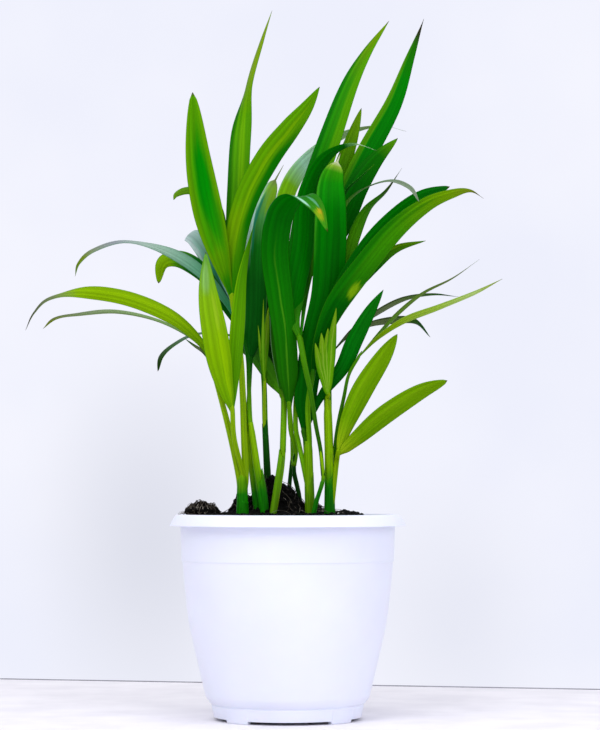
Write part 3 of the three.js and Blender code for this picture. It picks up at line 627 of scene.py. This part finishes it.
# Living palm leaf, pleated lengthwise as it unfolded from the spear: satin and slightly waxy above,
# duller and greyer below, with soft lengthwise streaks, a dark rim and a point that has dried brown.
def palmLeafTissue(name, along, margin, marginAt, under, patches=()):
    material, add = newMaterial("palmLeafTissue_" + name)
    mapPlace = add("UVMap", {"uv_map": "tissueMap"})
    x, y, _z = add("SeparateXYZ", {0: mapPlace}).outputs
    across = add("Math", {"operation": "ABSOLUTE", 0: x})
    isUnder = add("Math", {"operation": "LESS_THAN", 0: x, 1: 0})
    flat = add("CombineXYZ", {"X": across, "Y": y})
    # tones wander by up to a tenth of the width, so that no patch has a ruled edge
    drift = add("TexNoise", {"Scale": 5, "Detail": 2, "noise_dimensions": "2D", "Vector": flat}).outputs["Color"]
    shift = add("VectorMath", {"operation": "MULTIPLY_ADD", 0: drift, 1: (0.2, 0.06, 0), 2: (-0.1, -0.03, 0)})
    loose = add("VectorMath", {"operation": "ADD", 0: flat, 1: shift})
    fromMiddle = add("Math", {"operation": "MULTIPLY_ADD", 0: across, 1: 2, 2: -1})
    toEdge = add("Math", {"operation": "ABSOLUTE", 0: fromMiddle})
    tint = add("ValToRGB", {"stops": along, "Fac": y})
    atMargin = add("MapRange", {"interpolation_type": "SMOOTHSTEP", 0: toEdge, 1: marginAt, 4: 0.85})
    tint = add("Mix", {"data_type": "RGBA", 0: atMargin, 6: tint, 7: margin})
    lower = add("ValToRGB", {"stops": {0: under, 1: under} if isinstance(under, str) else under, "Fac": y})
    tint = add("Mix", {"data_type": "RGBA", 0: isUnder, 6: tint, 7: lower})
    # patches: the leaf's own marks, and on some looks painted highlight, sheen and shade
    for middle, place, halfWidth, halfLength, colour, strength in patches:
        tint = addSpot(add, tint, loose, (-middle / halfWidth, -place / halfLength, 0),
                       (1 / halfWidth, 1 / halfLength, 0), (1.15, 0.45), colour, strength)
    # Pleats: 7 across a blade, 1.5 to 2.5 mm apart. Veins between them are 0.2 mm, drawn at twice that.
    pleats, veins = (add("TexNoise", {"Scale": 1, "Detail": detail, "noise_dimensions": "2D", "Vector": add(
        "Mapping", {"Scale": scale, "Vector": mapPlace})}) for scale, detail in (((7, 0.7, 1), 1), ((40, 1.4, 1), 2)))
    pleatTone = add("MapRange", {0: pleats, 1: 0.3, 2: 0.7, 3: 0.68, 4: 0.92})
    veinTone = add("MapRange", {0: veins, 1: 0.3, 2: 0.7, 3: 0.92, 4: 1.08})
    tone = add("Math", {"operation": "MULTIPLY", 0: pleatTone, 1: veinTone})
    tint = add("VectorMath", {"operation": "SCALE", 0: tint, "Scale": tone})
    rim = add("MapRange", {0: toEdge, 1: 0.95, 2: 1, 4: 0.6})
    tint = add("Mix", {"data_type": "RGBA", 0: rim, 6: tint, 7: "#1c3a04"})
    dry = add("MapRange", {0: y, 1: 0.98, 2: 0.996, 4: 0.9})
    tint = add("Mix", {"data_type": "RGBA", 0: dry, 6: tint, 7: "#3a2a12"})
    relief = add("Bump", {"Strength": 0.25, "Distance": 0.0005, "Height": pleats})
    finer = add("Bump", {"Strength": 0.15, "Distance": 0.0002, "Height": veins, "Normal": relief})
    rough = add("MapRange", {0: veins, 3: 0.36, 4: 0.55})
    add("OutputMaterial", {"Surface": add("BsdfPrincipled", {
        "IOR": 1.42, "Specular IOR Level": 0.03, "Base Color": tint, "Roughness": rough, "Normal": finer})})
    return material


bladeMaterials = {name: palmLeafTissue(name, *look) for name, look in bladeLooks.items()}

# Each leaf as (stem, offset from its axis, radius of the stalk at both ends, slot, look of the stalk, its
# points, blades); it grows on the stem's top, or beside it at the height that stands after the offset.
# Each blade starts at the fork, as (look, width, roll in degrees at base and tip, where it is widest, how sharp
# the tip is, points). Some also have curl, degrees of further roll between two places; base, the width at the
# fork as a share; neck, where the base reaches its width; or thread, a dried end as a share of the length.
leaves = {
    "leaf_long_left": ("stem_1", (-2.2, 0.5), (2.2, 1.5), "leaf_bright", "stalk", [(-36, -12, 179), (-41.5, -16, 201),
        (-48.3, -18, 226)], [
        ("longLeft", 9.6, (8, 22), 0.38, 0.88, [(-55, -20, 240), (-73, -24, 256), (-100, -30, 267.5),
         (-128, -34, 271.5), (-150, -38, 267.5), (-160, -39, 258), (-165, -40, 247)], dict(curl=(64, 0.5, 0.68))),
        ("backRight", 2.2, (20, 50), 0.5, 0.9, [(-54, -19, 234.5), (-60, -19.5, 239), (-65.5, -20, 243)]),
        ("longLeftBack", 9, (60, 80), 0.5, 0.9, [(-59, -13, 242), (-82, -10, 255), (-110, -14, 261), (-135, -26, 258),
         (-147, -34, 255), (-154, -40, 248)])]),
    "leaf_bright_front": ("stem_1", (0.3, -1.7), (1.7, 1.5), "leaf_bright", "stalk", [(-34, -18, 179),
        (-35, -21, 196)], [
        ("brightFront", 16.6, (8, 0), 0.42, 0.78, [(-41, -26, 218), (-46, -36, 246), (-50, -46, 272),
         (-51, -56, 295)], dict(base=0.3)),
        ("brightFrontBack", 9.5, (-20, 30), 0.45, 1, [(-34, -18, 220), (-32, -15, 252), (-29, -14, 284),
         (-22, -12, 316)], dict(base=0.25))]),
    "leaf_tall_left": ("stem_1", (2, 0.7), (2.2, 1.8), "leaf_mid", "stalk", [(-28, -5, 182), (-29, -1, 208),
        (-31, 3, 237), (-36, 6, 270)], [
        ("tallLeftBroad", 19.4, (0, -6), 0.5, 0.58, [(-43, 3, 294), (-52, -2, 328), (-58, -8, 362),
         (-61.2, -14, 402)]),
        ("tallLeftNarrow", 14, (0, 0), 0.38, 0.85, [(-35, 12, 303), (-33, 22, 343), (-31, 36, 384), (-26, 47, 418),
         (-18, 59, 448), (-11, 66, 470)], dict(curl=(-62, 0.44, 0.66), base=0.7)),
        ("tallLeftRight", 16, (0, 8), 0.45, 0.8, [(-34.5, 6, 305), (-27, 3, 335), (-13, -1, 361), (1, -6, 379),
         (12, -10, 392.5), (20.5, -14, 405.5)], dict(base=0.8, neck=0.16))]),
    "leaf_folded_back": ("stem_2", (0, 0), (1.4, 1.2), "leaf_dark", "darkStalk", [(-25, 6, 211), (-24, 14, 232)], [
        ("foldedFront", 16, (0, 20), 0.55, 0.42, [(-21, 17, 262), (-20.5, 19, 300), (-18, 22, 326), (-11, 28, 345),
         (-3, 33, 361)], dict(base=0.75, thread=0.14)),
        ("backStub", 14, (0, -20), 0.5, 0.85, [(-31, 22, 257), (-41, 33, 278), (-53, 48, 303), (-62, 62, 315.5),
         (-68, 78, 318.5), (-66, 96, 315)])]),
    "leaf_grey_left": ("stem_3", (0, 0), (1.5, 1), "leaf_mid", "darkStalk", [(-25, 1, 211), (-26, 8, 231),
        (-29, 13, 247)], [
        ("greyLeft", 8.6, (0, 16), 0.36, 1, [(-40, 17, 269), (-58, 20, 290), (-80, 18, 303), (-106, 8, 308),
         (-125, -6, 301), (-134, -12, 292), (-136, -16, 283)], dict(curl=(68, 0.27, 0.56))),
        ("hookLeft", 12.4, (10, 0), 0.5, 0.55, [(-39, 25, 263), (-50, 33, 282), (-60, 38, 293), (-70, 41, 299),
         (-78.5, 42, 299.5), (-84, 40, 295), (-85.6, 38, 283)])]),
    "leaf_hooked_back": ("stem_4", (0.2, 1.1), (1.8, 1.1), "leaf_mid", "darkStalk", [(-16, 17, 222), (-21, 26, 255),
        (-32, 36, 288)], [
        ("hookBack", 5.6, (30, 50), 0.55, 0.8, [(-40, 38, 314), (-45, 38, 332.5), (-55, 34, 342.5), (-66, 28, 343.5),
         (-73, 24, 340.5), (-75, 22, 336.5)]),
        # This second blade is near-black green: painted shade at the back of the plant.
        ("backCentre", 14, (0, 20), 0.5, 0.85, [(-30, 54, 313), (-27, 78, 339), (-22, 106, 359)])]),
    "leaf_low_left": ("stem_5", (0, 0), (2, 1.8), "leaf_dark", "darkStalk", [(-3.7, 11, 208)], [
        ("lowLeft", 11.5, (0, -50), 0.3, 0.62, [(-12, 20, 223), (-24, 27, 239), (-41, 31, 249), (-61, 31, 249),
         (-75, 27, 242), (-83, 24, 234), (-85, 22, 224)], dict(curl=(100, 0.26, 0.42), base=0.85)),
        ("paleStrip", 14, (10, 84), 0.46, 2.8, [(-6, 28, 252), (-7, 40, 299), (-1, 50, 343), (15, 58, 369),
         (38, 68, 386), (62, 76, 393), (80, 80, 390)], dict(base=0.8))]),
    "leaf_arched_centre": ("stem_7", (0, 0), (1.6, 1.5), "leaf_dark", "darkStalk", [(2, 4, 185), (1, 1, 200)], [
        ("archedFront", 18, (0, 10), 0.56, 0.8, [(0, -3, 224), (-2, -7, 247), (-5, -13, 271), (-8, -23, 299),
         (-4, -35, 322), (7, -50, 331), (18, -64, 323), (25, -74, 306)], dict(curl=(60, 0.66, 0.88), base=0.7)),
        ("archedBack", 16, (0, 60), 0.5, 1.65, [(2, -1, 224), (0.5, -3, 250), (4.5, -4, 275), (10, -4, 304),
         (12, -3, 332), (19, -3, 353), (29, -5, 364.5), (43, -9, 369), (57, -20, 363.5)], dict(base=0.45))]),
    "leaf_tall_right": ("stem_9", (0, 0), (1.3, 2), "leaf_dark", "shadeStalk", [(18, -14, 188), (15, -17, 207),
        (11, -16, 226), (8, -12, 242)], [
        ("tallRight", 16.4, (0, 8), 0.45, 0.9, [(3.5, -4, 260), (7, 3, 282), (9, 10, 309), (16, 18, 342),
         (29, 27, 382), (41, 42, 416), (53, 54, 440), (68, 66, 463)], dict(base=0.5, neck=0.16)),
        ("tallRightInner", 11, (0, 10), 0.6, 0.75, [(13, 13, 283), (22, 30, 318), (33, 40, 352), (42, 46, 379),
         (49, 54, 402)])]),
    "leaf_tall_far_right": ("stem_8", (-4.1, 0.4, 167), (1.6, 1.5), "leaf_dark", "darkStalk", [(7, 1, 177),
        (5, 3, 189), (6, 9, 215), (11, 15, 244), (21, 20, 277)], [
        ("tallFarRight", 14.3, (0, 10), 0.45, 1.1, [(28, 24, 307), (37, 29, 337), (52.5, 37, 370), (70.3, 46, 404),
         (82, 60, 437), (92, 75, 466)]),
        ("farRightLow", 15.5, (0, 0), 0.5, 0.75, [(28, 18, 301), (37, 17, 324), (45, 17, 344), (57, 18, 362),
         (72, 20, 377)])]),
    "leaf_round_front": ("stem_8", (-1, 1.3), (2.3, 1.9), "leaf_dark", "shadeStalk", [(11, -4, 182)], [
        ("roundFront", 21, (0, 0), 0.6, 0.25, [(12, -1, 212), (17.5, -2, 243), (25, -8, 272), (27, -16, 300),
         (27.5, -20, 326), (28, -16, 345), (34, -13, 363)], dict(base=0.62, thread=0.06)),
        ("roundFrontSide", 10.8, (0, 10), 0.55, 0.8, [(20.5, -4.8, 205), (35, -8, 225), (43.2, -12.5, 243),
         (52.3, -18, 260), (61, -23, 274)])]),
    "leaf_broad_right": ("stem_8", (0.9, -1.3), (1.7, 1.7), "leaf_mid", "darkStalk", [(13, -9, 201), (16, -10, 220)], [
        ("broadRight", 15.4, (0, 25), 0.32, 1.55, [(20, -12, 239), (30, -18, 263), (47.5, -28, 287), (68, -36, 311),
         (88, -42, 326.5), (105, -47, 333), (115, -50, 334), (123, -52, 329)]),
        ("broadRightBack", 10, (0, 10), 0.55, 0.5, [(22, -13, 247), (33, -15, 276), (51, -17, 303), (68, -21, 321),
         (85, -26, 333.5), (103, -31, 339)])]),
    "leaf_narrow_right": ("stem_10", (-0.8, 2), (1.5, 1), "leaf_mid", "darkStalk", [(25, 0, 224), (27, 4, 247),
        (33, 6, 270)], [
        ("narrowRight", 9, (0, 70), 0.4, 1.2, [(38, 3, 290), (43, -2, 310), (51, -8, 327), (63, -15, 338),
         (73, -22, 352)]),
        ("hookRight", 6, (45, 80), 0.5, 0.8, [(33, 8, 299), (35, 5, 326), (46, -5, 339), (64, -20, 344),
         (77, -36, 338), (83, -48, 327)]),
        ("farRightLow", 3, (40, 60), 0.4, 0.8, [(31, 6, 300), (33, 4, 327), (38, 2, 340), (49, -1, 350.5),
         (56, -3, 357)]),
        ("smallRight", 7.5, (0, 40), 0.5, 0.8, [(43, 4, 277), (56, 1, 291), (70, -3, 302), (89, -6, 307)])]),
    "leaf_back_right": ("stem_10", (1.4, 1.8), (1.4, 1), "leaf_mid", "darkStalk", [(27, 6, 221), (29, 12, 236)], [
        ("backRight", 6.5, (75, 30), 0.6, 0.9, [(39, 17, 246), (52, 19, 254), (69, 17, 257), (83, 12, 256),
         (92, 0, 245)]),
        ("backRight", 6.5, (55, 80), 0.45, 1, [(41, 24, 250), (57, 31, 262), (76, 33, 272), (95, 30, 275),
         (112, 24, 273)])]),
    "leaf_long_right": ("stem_10", (3.4, 2.6, 165), (1.4, 1), "leaf_bright", "shadeStalk", [(31, -8, 179),
        (33, -9, 192), (36, -10, 206), (39, -12, 220), (45, -14, 231)], [
        ("longRight", 7.4, (46, 60), 0.5, 0.9, [(57, -19, 243), (74, -26, 254), (96, -34, 262), (118, -42, 270.5),
         (135, -48, 279)]),
        ("longRightBack", 5.5, (55, 82), 0.35, 1.2, [(58, -8, 246), (72, -2, 261), (88, 4, 274), (107, 10, 284),
         (125, 16, 297)])]),
    "leaf_low_right": ("stem_10", (4.2, -1.6, 161), (1.7, 1.4), "leaf_bright", "stalk", [(32, -13, 169)], [
        ("lowRight", 13.5, (0, 0), 0.5, 0.7, [(37.5, -15, 188), (47.5, -16, 210), (61, -17, 231.5),
         (70, -18, 246)], dict(base=0.34)),
        ("lowRight", 12.3, (0, 5), 0.5, 0.58, [(44, -20, 179.5), (62, -30, 194.5), (83, -40, 208),
         (100, -50, 215)], dict(base=0.45))]),
    # Two blades at the back in near-black green: painted shade that fills the gap behind the middle of the plant.
    "leaf_back_centre": ("stem_6", (0, 0), (1.3, 1), "leaf_dark", "darkStalk", [(2, 17, 192), (0, 20, 210)], [
        ("backCentre", 19, (0, 0), 0.5, 0.85, [(-6, 36, 242), (-12, 54, 273), (-17, 76, 302), (-17, 102, 324),
         (-13, 126, 334)], dict(base=0.8)),
        ("backCentre", 16, (0, 0), 0.5, 0.85, [(-2, 36, 242), (0, 52, 273), (11, 72, 304), (19, 96, 331),
         (25, 122, 350)], dict(base=0.7))]),
    "young_leaf_right": ("stem_10", (0, -1.9), (1.3, 1), "leaf_bright", "stalk", [(26, -10.5, 206)], [
        ("spear", 6, (0, 10), 0.35, 0.9, [(27.6, -16, 232), (29, -20, 248), (31, -25, 262.5)], dict(base=0.6)),
        ("spear", 6, (0, 0), 0.5, 0.8, [(25, -15.5, 230), (25.8, -19, 250)], dict(base=0.6)),
        ("spear", 6.4, (0, 0), 0.5, 0.8, [(23, -15, 227), (21.5, -19, 247)], dict(base=0.6)),
        ("spear", 5.4, (0, 0), 0.5, 0.8, [(21.3, -14.5, 224), (17.5, -19, 240.5)], dict(base=0.6))]),
    "young_leaf_left": ("stem_4", (-0.2, -1.1), (1.1, 0.9), "leaf_bright", "stalk", [(-15, 6, 215)], [
        ("spear", 4.4, (0, 0), 0.6, 0.9, [(-14.5, 3, 237), (-12.5, 0, 265)]),
        ("spear", 2.4, (0, 0), 0.5, 0.9, [(-16, -1, 236), (-15.6, -6, 270)], dict(base=0.6)),
        ("spear", 2.4, (0, 0), 0.5, 0.9, [(-17, 1, 232), (-19.2, -3, 253)], dict(base=0.6))]),
}

bladeMesh = {"halfSides": 9, "stepsPerSpan": 9, "fold": 0.16, "thickness": 0.42, "edge": 0.16, "pleat": 0.05,
             "pleatWaves": 4.5, "channel": 0.5, "sway": 0.035, "usualBase": 0.14}


# How wide the blade is at a place along it, of its widest.
def bladeWidth(along, peak, tip, base, neck, thread):
    if thread and along > 1 - thread:
        return 0.07 * (1 - along) / thread + 0.012
    along = along / (1 - thread)
    narrower = mixed(min(1, bladeMesh["usualBase"] / base), 1, smoothStep(along, -0.02, neck))
    if along < peak:
        return narrower * (base + (1 - base) * smoothStep(along, -0.04, peak))
    return max(0.012, sin(pi / 2 * ((1 - along) / (1 - peak))) ** tip)


# A leaflet: a thin closed skin with pleats, channelled where it leaves the fork and flatter beyond.
def addBlade(bm, fork, slot, width, turn, peak, tip, line, curl=(0, 0, 1), base=bladeMesh["usualBase"], neck=0.12,
             thread=0):
    points = [fork] + [Vector(point) for point in line]
    steps = (len(points) - 1) * bladeMesh["stepsPerSpan"]
    across = curveTangent(points, 0).cross(Vector((0, 1, 0))).normalized()
    sideCount = bladeMesh["halfSides"] * 2
    seed = chance.uniform(0, 50)
    rings = []
    for step in range(steps + 1):
        along = step / steps
        centre, tangent = curvePoint(points, along), curveTangent(points, along)
        across = (across - tangent * across.dot(tangent)).normalized()
        roll = mixed(*turn, along) + curl[0] * smoothStep(along, *curl[1:])
        side = Quaternion(tangent, radians(roll)) @ across
        face = tangent.cross(side).normalized()
        share = bladeWidth(along, peak, tip, base, neck, thread)
        half = width / 2 * share
        fold = half * (bladeMesh["fold"] + bladeMesh["channel"] * (1 - smoothStep(along, 0, 0.12)))
        thick = bladeMesh["thickness"] * min(1, 0.25 + share)
        edge = bladeMesh["edge"] * min(1, 0.3 + share)
        wave = bladeMesh["sway"] * half * sin(along * 17 + seed)
        top, under = [], []
        for place in range(sideCount + 1):
            u = place / sideCount * 2 - 1
            arch = fold * (0.5 - u * u) + wave * u * abs(u)
            pleat = bladeMesh["pleat"] * share * cos(u * bladeMesh["pleatWaves"] * pi) * (1 - u ** 4)
            depth = mixed(thick, edge, abs(u) ** 3) / 2
            middle = centre + side * (half * u) + face * (arch + pleat)
            top.append(middle + face * depth)
            under.append(middle - face * depth)
        rings.append(addRing(bm, under + top[::-1]))
    count = len(rings[0])

    # The map runs 0 to 1 across the upper side and -1 to 0 back across the lower one.
    def bladeSpot(row, side):
        fromTop = count - 1 - side % count if side < count else count - 1
        if fromTop <= sideCount:
            return fromTop / sideCount, row / steps
        return -(count - 1 - fromTop) / sideCount - 0.0001, row / steps

    skinRings(bm, rings, bladeSpot, slot)


# The stalk starts inside its stem, so that it grows out of the sheath with no gap.
def stalkLine(stem, at, stalk):
    points = [Vector(point) for point in stems[stem][-1]]
    offset = Vector((*at[:2], 0))
    if len(at) == 2:
        foot = points[-1] + offset + Vector((0, 0, 0.3))
        rootPlace = curvePoint(points, 0.72) + offset * 0.45
    else:
        share = (at[2] - points[0].z) / (points[-1].z - points[0].z)
        foot = curvePoint(points, share) + offset
        foot.z = at[2]
        rootPlace = curvePoint(points, share - 0.3) + offset * 0.3
    return [rootPlace, foot] + [Vector(point) for point in stalk]


def buildLeaf(name, stem, at, thick, slotName, look, stalk, blades):
    line = stalkLine(stem, at, stalk)
    fork = line[-1].copy()
    line.append(fork + (fork - line[-2]).normalized() * 5)

    def stalkRadius(along, angle):
        groove = 0.16 * max(0, cos(angle + 1.6)) ** 3  # a shallow channel down the upper side
        end = 1 - 0.75 * smoothStep(along, 0.86, 1)
        return mixed(*thick, smoothStep(along, 0.2, 0.9)) * (1 - groove) * end

    bm = bmesh.new()
    addTube(bm, line, stalkRadius, 16, (len(line) - 1) * 8, 0)
    materials = [caneMaterials[look]]
    for bladeLook, *form in blades:
        if bladeMaterials[bladeLook] not in materials:
            materials.append(bladeMaterials[bladeLook])
        extras = form.pop() if isinstance(form[-1], dict) else {}
        addBlade(bm, fork, materials.index(bladeMaterials[bladeLook]), *form, **extras)
    finishPiece(name + "_blades", bm, materials, name)


for name, leaf in leaves.items():
    buildLeaf(name, *leaf)
print("leaves done")

# The pot stands on a pale board. Well behind it hangs a paper backdrop that glows by itself. edgeTurn and edgeAt: how
# the board's back edge lies. The last list holds the shadows of the plant and the pot, painted as soft darker places
# on the paper, each as (x, z, half width, half height in mm, strength).
stage = {
    "edgeTurn": -13, "edgeAt": 290, "reach": 3000, "near": -2600, "edgeHeight": 0.8,
    "paperAt": 3000, "paperReach": 4000, "paperLow": -1500, "paperHigh": 4000,
    "paintedShadows": [(-265, 50, 230, 380, 0.9), (285, -90, 200, 280, 0.4)],
}


# Board with matt emulsion paint, rolled on: pale, with faint clouds.
def rolledEmulsion(name, dark, light, cloudScale):
    return patternMaterial("rolledEmulsion_" + name, ("TexNoise", {"Scale": cloudScale, "Detail": 4}),
                           {0.35: dark, 0.65: light}, {"Roughness": 0.8, "Specular IOR Level": 0.2})


# Paper backdrop that glows as if lit from behind: cool white, with faint clouds and two softly darker places that are
# painted shadows of the plant and the pot.
def litPaper():
    material, add = newMaterial("litPaper")
    place = add("TexCoord", {}).outputs["Object"]
    clouds = add("TexNoise", {"Scale": 2.2, "Detail": 3, "Vector": place})
    tint = add("ValToRGB", {"stops": {0.35: "#eef0fd", 0.65: "#f4f5ff"}, "Fac": clouds})
    # Each of these is a painted shadow: a soft grey-blue oval laid over the glowing paper.
    for x, z, halfWidth, halfHeight, strength in stage["paintedShadows"]:
        tint = addSpot(add, tint, place, (-x / halfWidth, 0, -z / halfHeight),
                       (1 / halfWidth / mm, 0, 1 / halfHeight / mm), (1.2, 0), "#dcdeea", strength)
    add("OutputMaterial", {"Surface": add("Emission", {"Strength": 1, "Color": tint})})
    return material


def buildBoard(name, corners, material):
    bm = bmesh.new()
    bm.faces.new(addRing(bm, corners))
    placeMesh(name, bm, [material])


def buildStage():
    reach, near, lip, paperAt = (stage[key] for key in ("reach", "near", "edgeHeight", "paperAt"))
    paperReach, low, high = stage["paperReach"], stage["paperLow"], stage["paperHigh"]
    lean = reach * tan(radians(stage["edgeTurn"]))
    left, right = (-reach, stage["edgeAt"] - lean), (reach, stage["edgeAt"] + lean)
    buildBoard("floor_board", [(-reach, near, 0), (reach, near, 0), (*right, 0), (*left, 0)],
               rolledEmulsion("floor", "#e8e5e8", "#f2eff1", 22))
    # A dark grey strip 0.8 mm high along the board's back edge: a painted shadow line, like the shade in the gap where
    # a board meets a wall.
    buildBoard("floor_edge_shadow_line", [(*left, 0), (*right, 0), (*right, lip), (*left, lip)],
               rolledEmulsion("edge", "#8c8c94", "#a4a4ac", 30))
    buildBoard("paper_backdrop", [(-paperReach, paperAt, low), (paperReach, paperAt, low),
                                  (paperReach, paperAt, high), (-paperReach, paperAt, high)], litPaper())


buildStage()

lights = {
    "aim": (0, 0, 220),
    # place, size, power, colour
    "panels": {
        "keyPanel": ((-760, -1350, 1450), 900, 9.2, "#ffffff"),
        "fillPanel": ((800, -1300, 900), 900, 6.2, "#f2f4ff"),
        "topPanel": ((0, -450, 1500), 1000, 7, "#ffffff"),
    },
    "sky": "#f3f4ff", "skyStrength": 0.78,
}

for name, (at, size, power, colour) in lights["panels"].items():
    lamp = bpy.data.lights.new(name, "AREA")
    lamp.shape = "SQUARE"
    lamp.size = size * mm
    lamp.energy = power
    lamp.color = linearColour(colour)[:3]
    panel = placeObject(name, lamp)
    panel.location = Vector(at) * mm
    aim = Vector(lights["aim"]) * mm - panel.location
    panel.rotation_euler = aim.to_track_quat("-Z", "Y").to_euler()

scene = bpy.context.scene
scene.world = bpy.data.worlds.new("softStudio")
scene.world.use_nodes = True
sky = scene.world.node_tree.nodes["Background"].inputs
sky["Color"].default_value = linearColour(lights["sky"])
sky["Strength"].default_value = lights["skyStrength"]
scene.view_settings.view_transform = "Standard"

view = {"eye": (7.88, -1640.8, 147.5), "pitch": 2.779, "focalPixels": 2547.2, "frameHeight": 730}
lens = bpy.data.cameras.new("photoLens")
lens.sensor_width = 36
lens.lens = view["focalPixels"] / view["frameHeight"] * lens.sensor_width  # the longer side spans the sensor
lens.clip_end = 20
scene.camera = placeObject("photoCamera", lens)
scene.camera.location = Vector(view["eye"]) * mm
scene.camera.rotation_euler = (radians(90 + view["pitch"]), 0, 0)
print("stage, light and camera done")
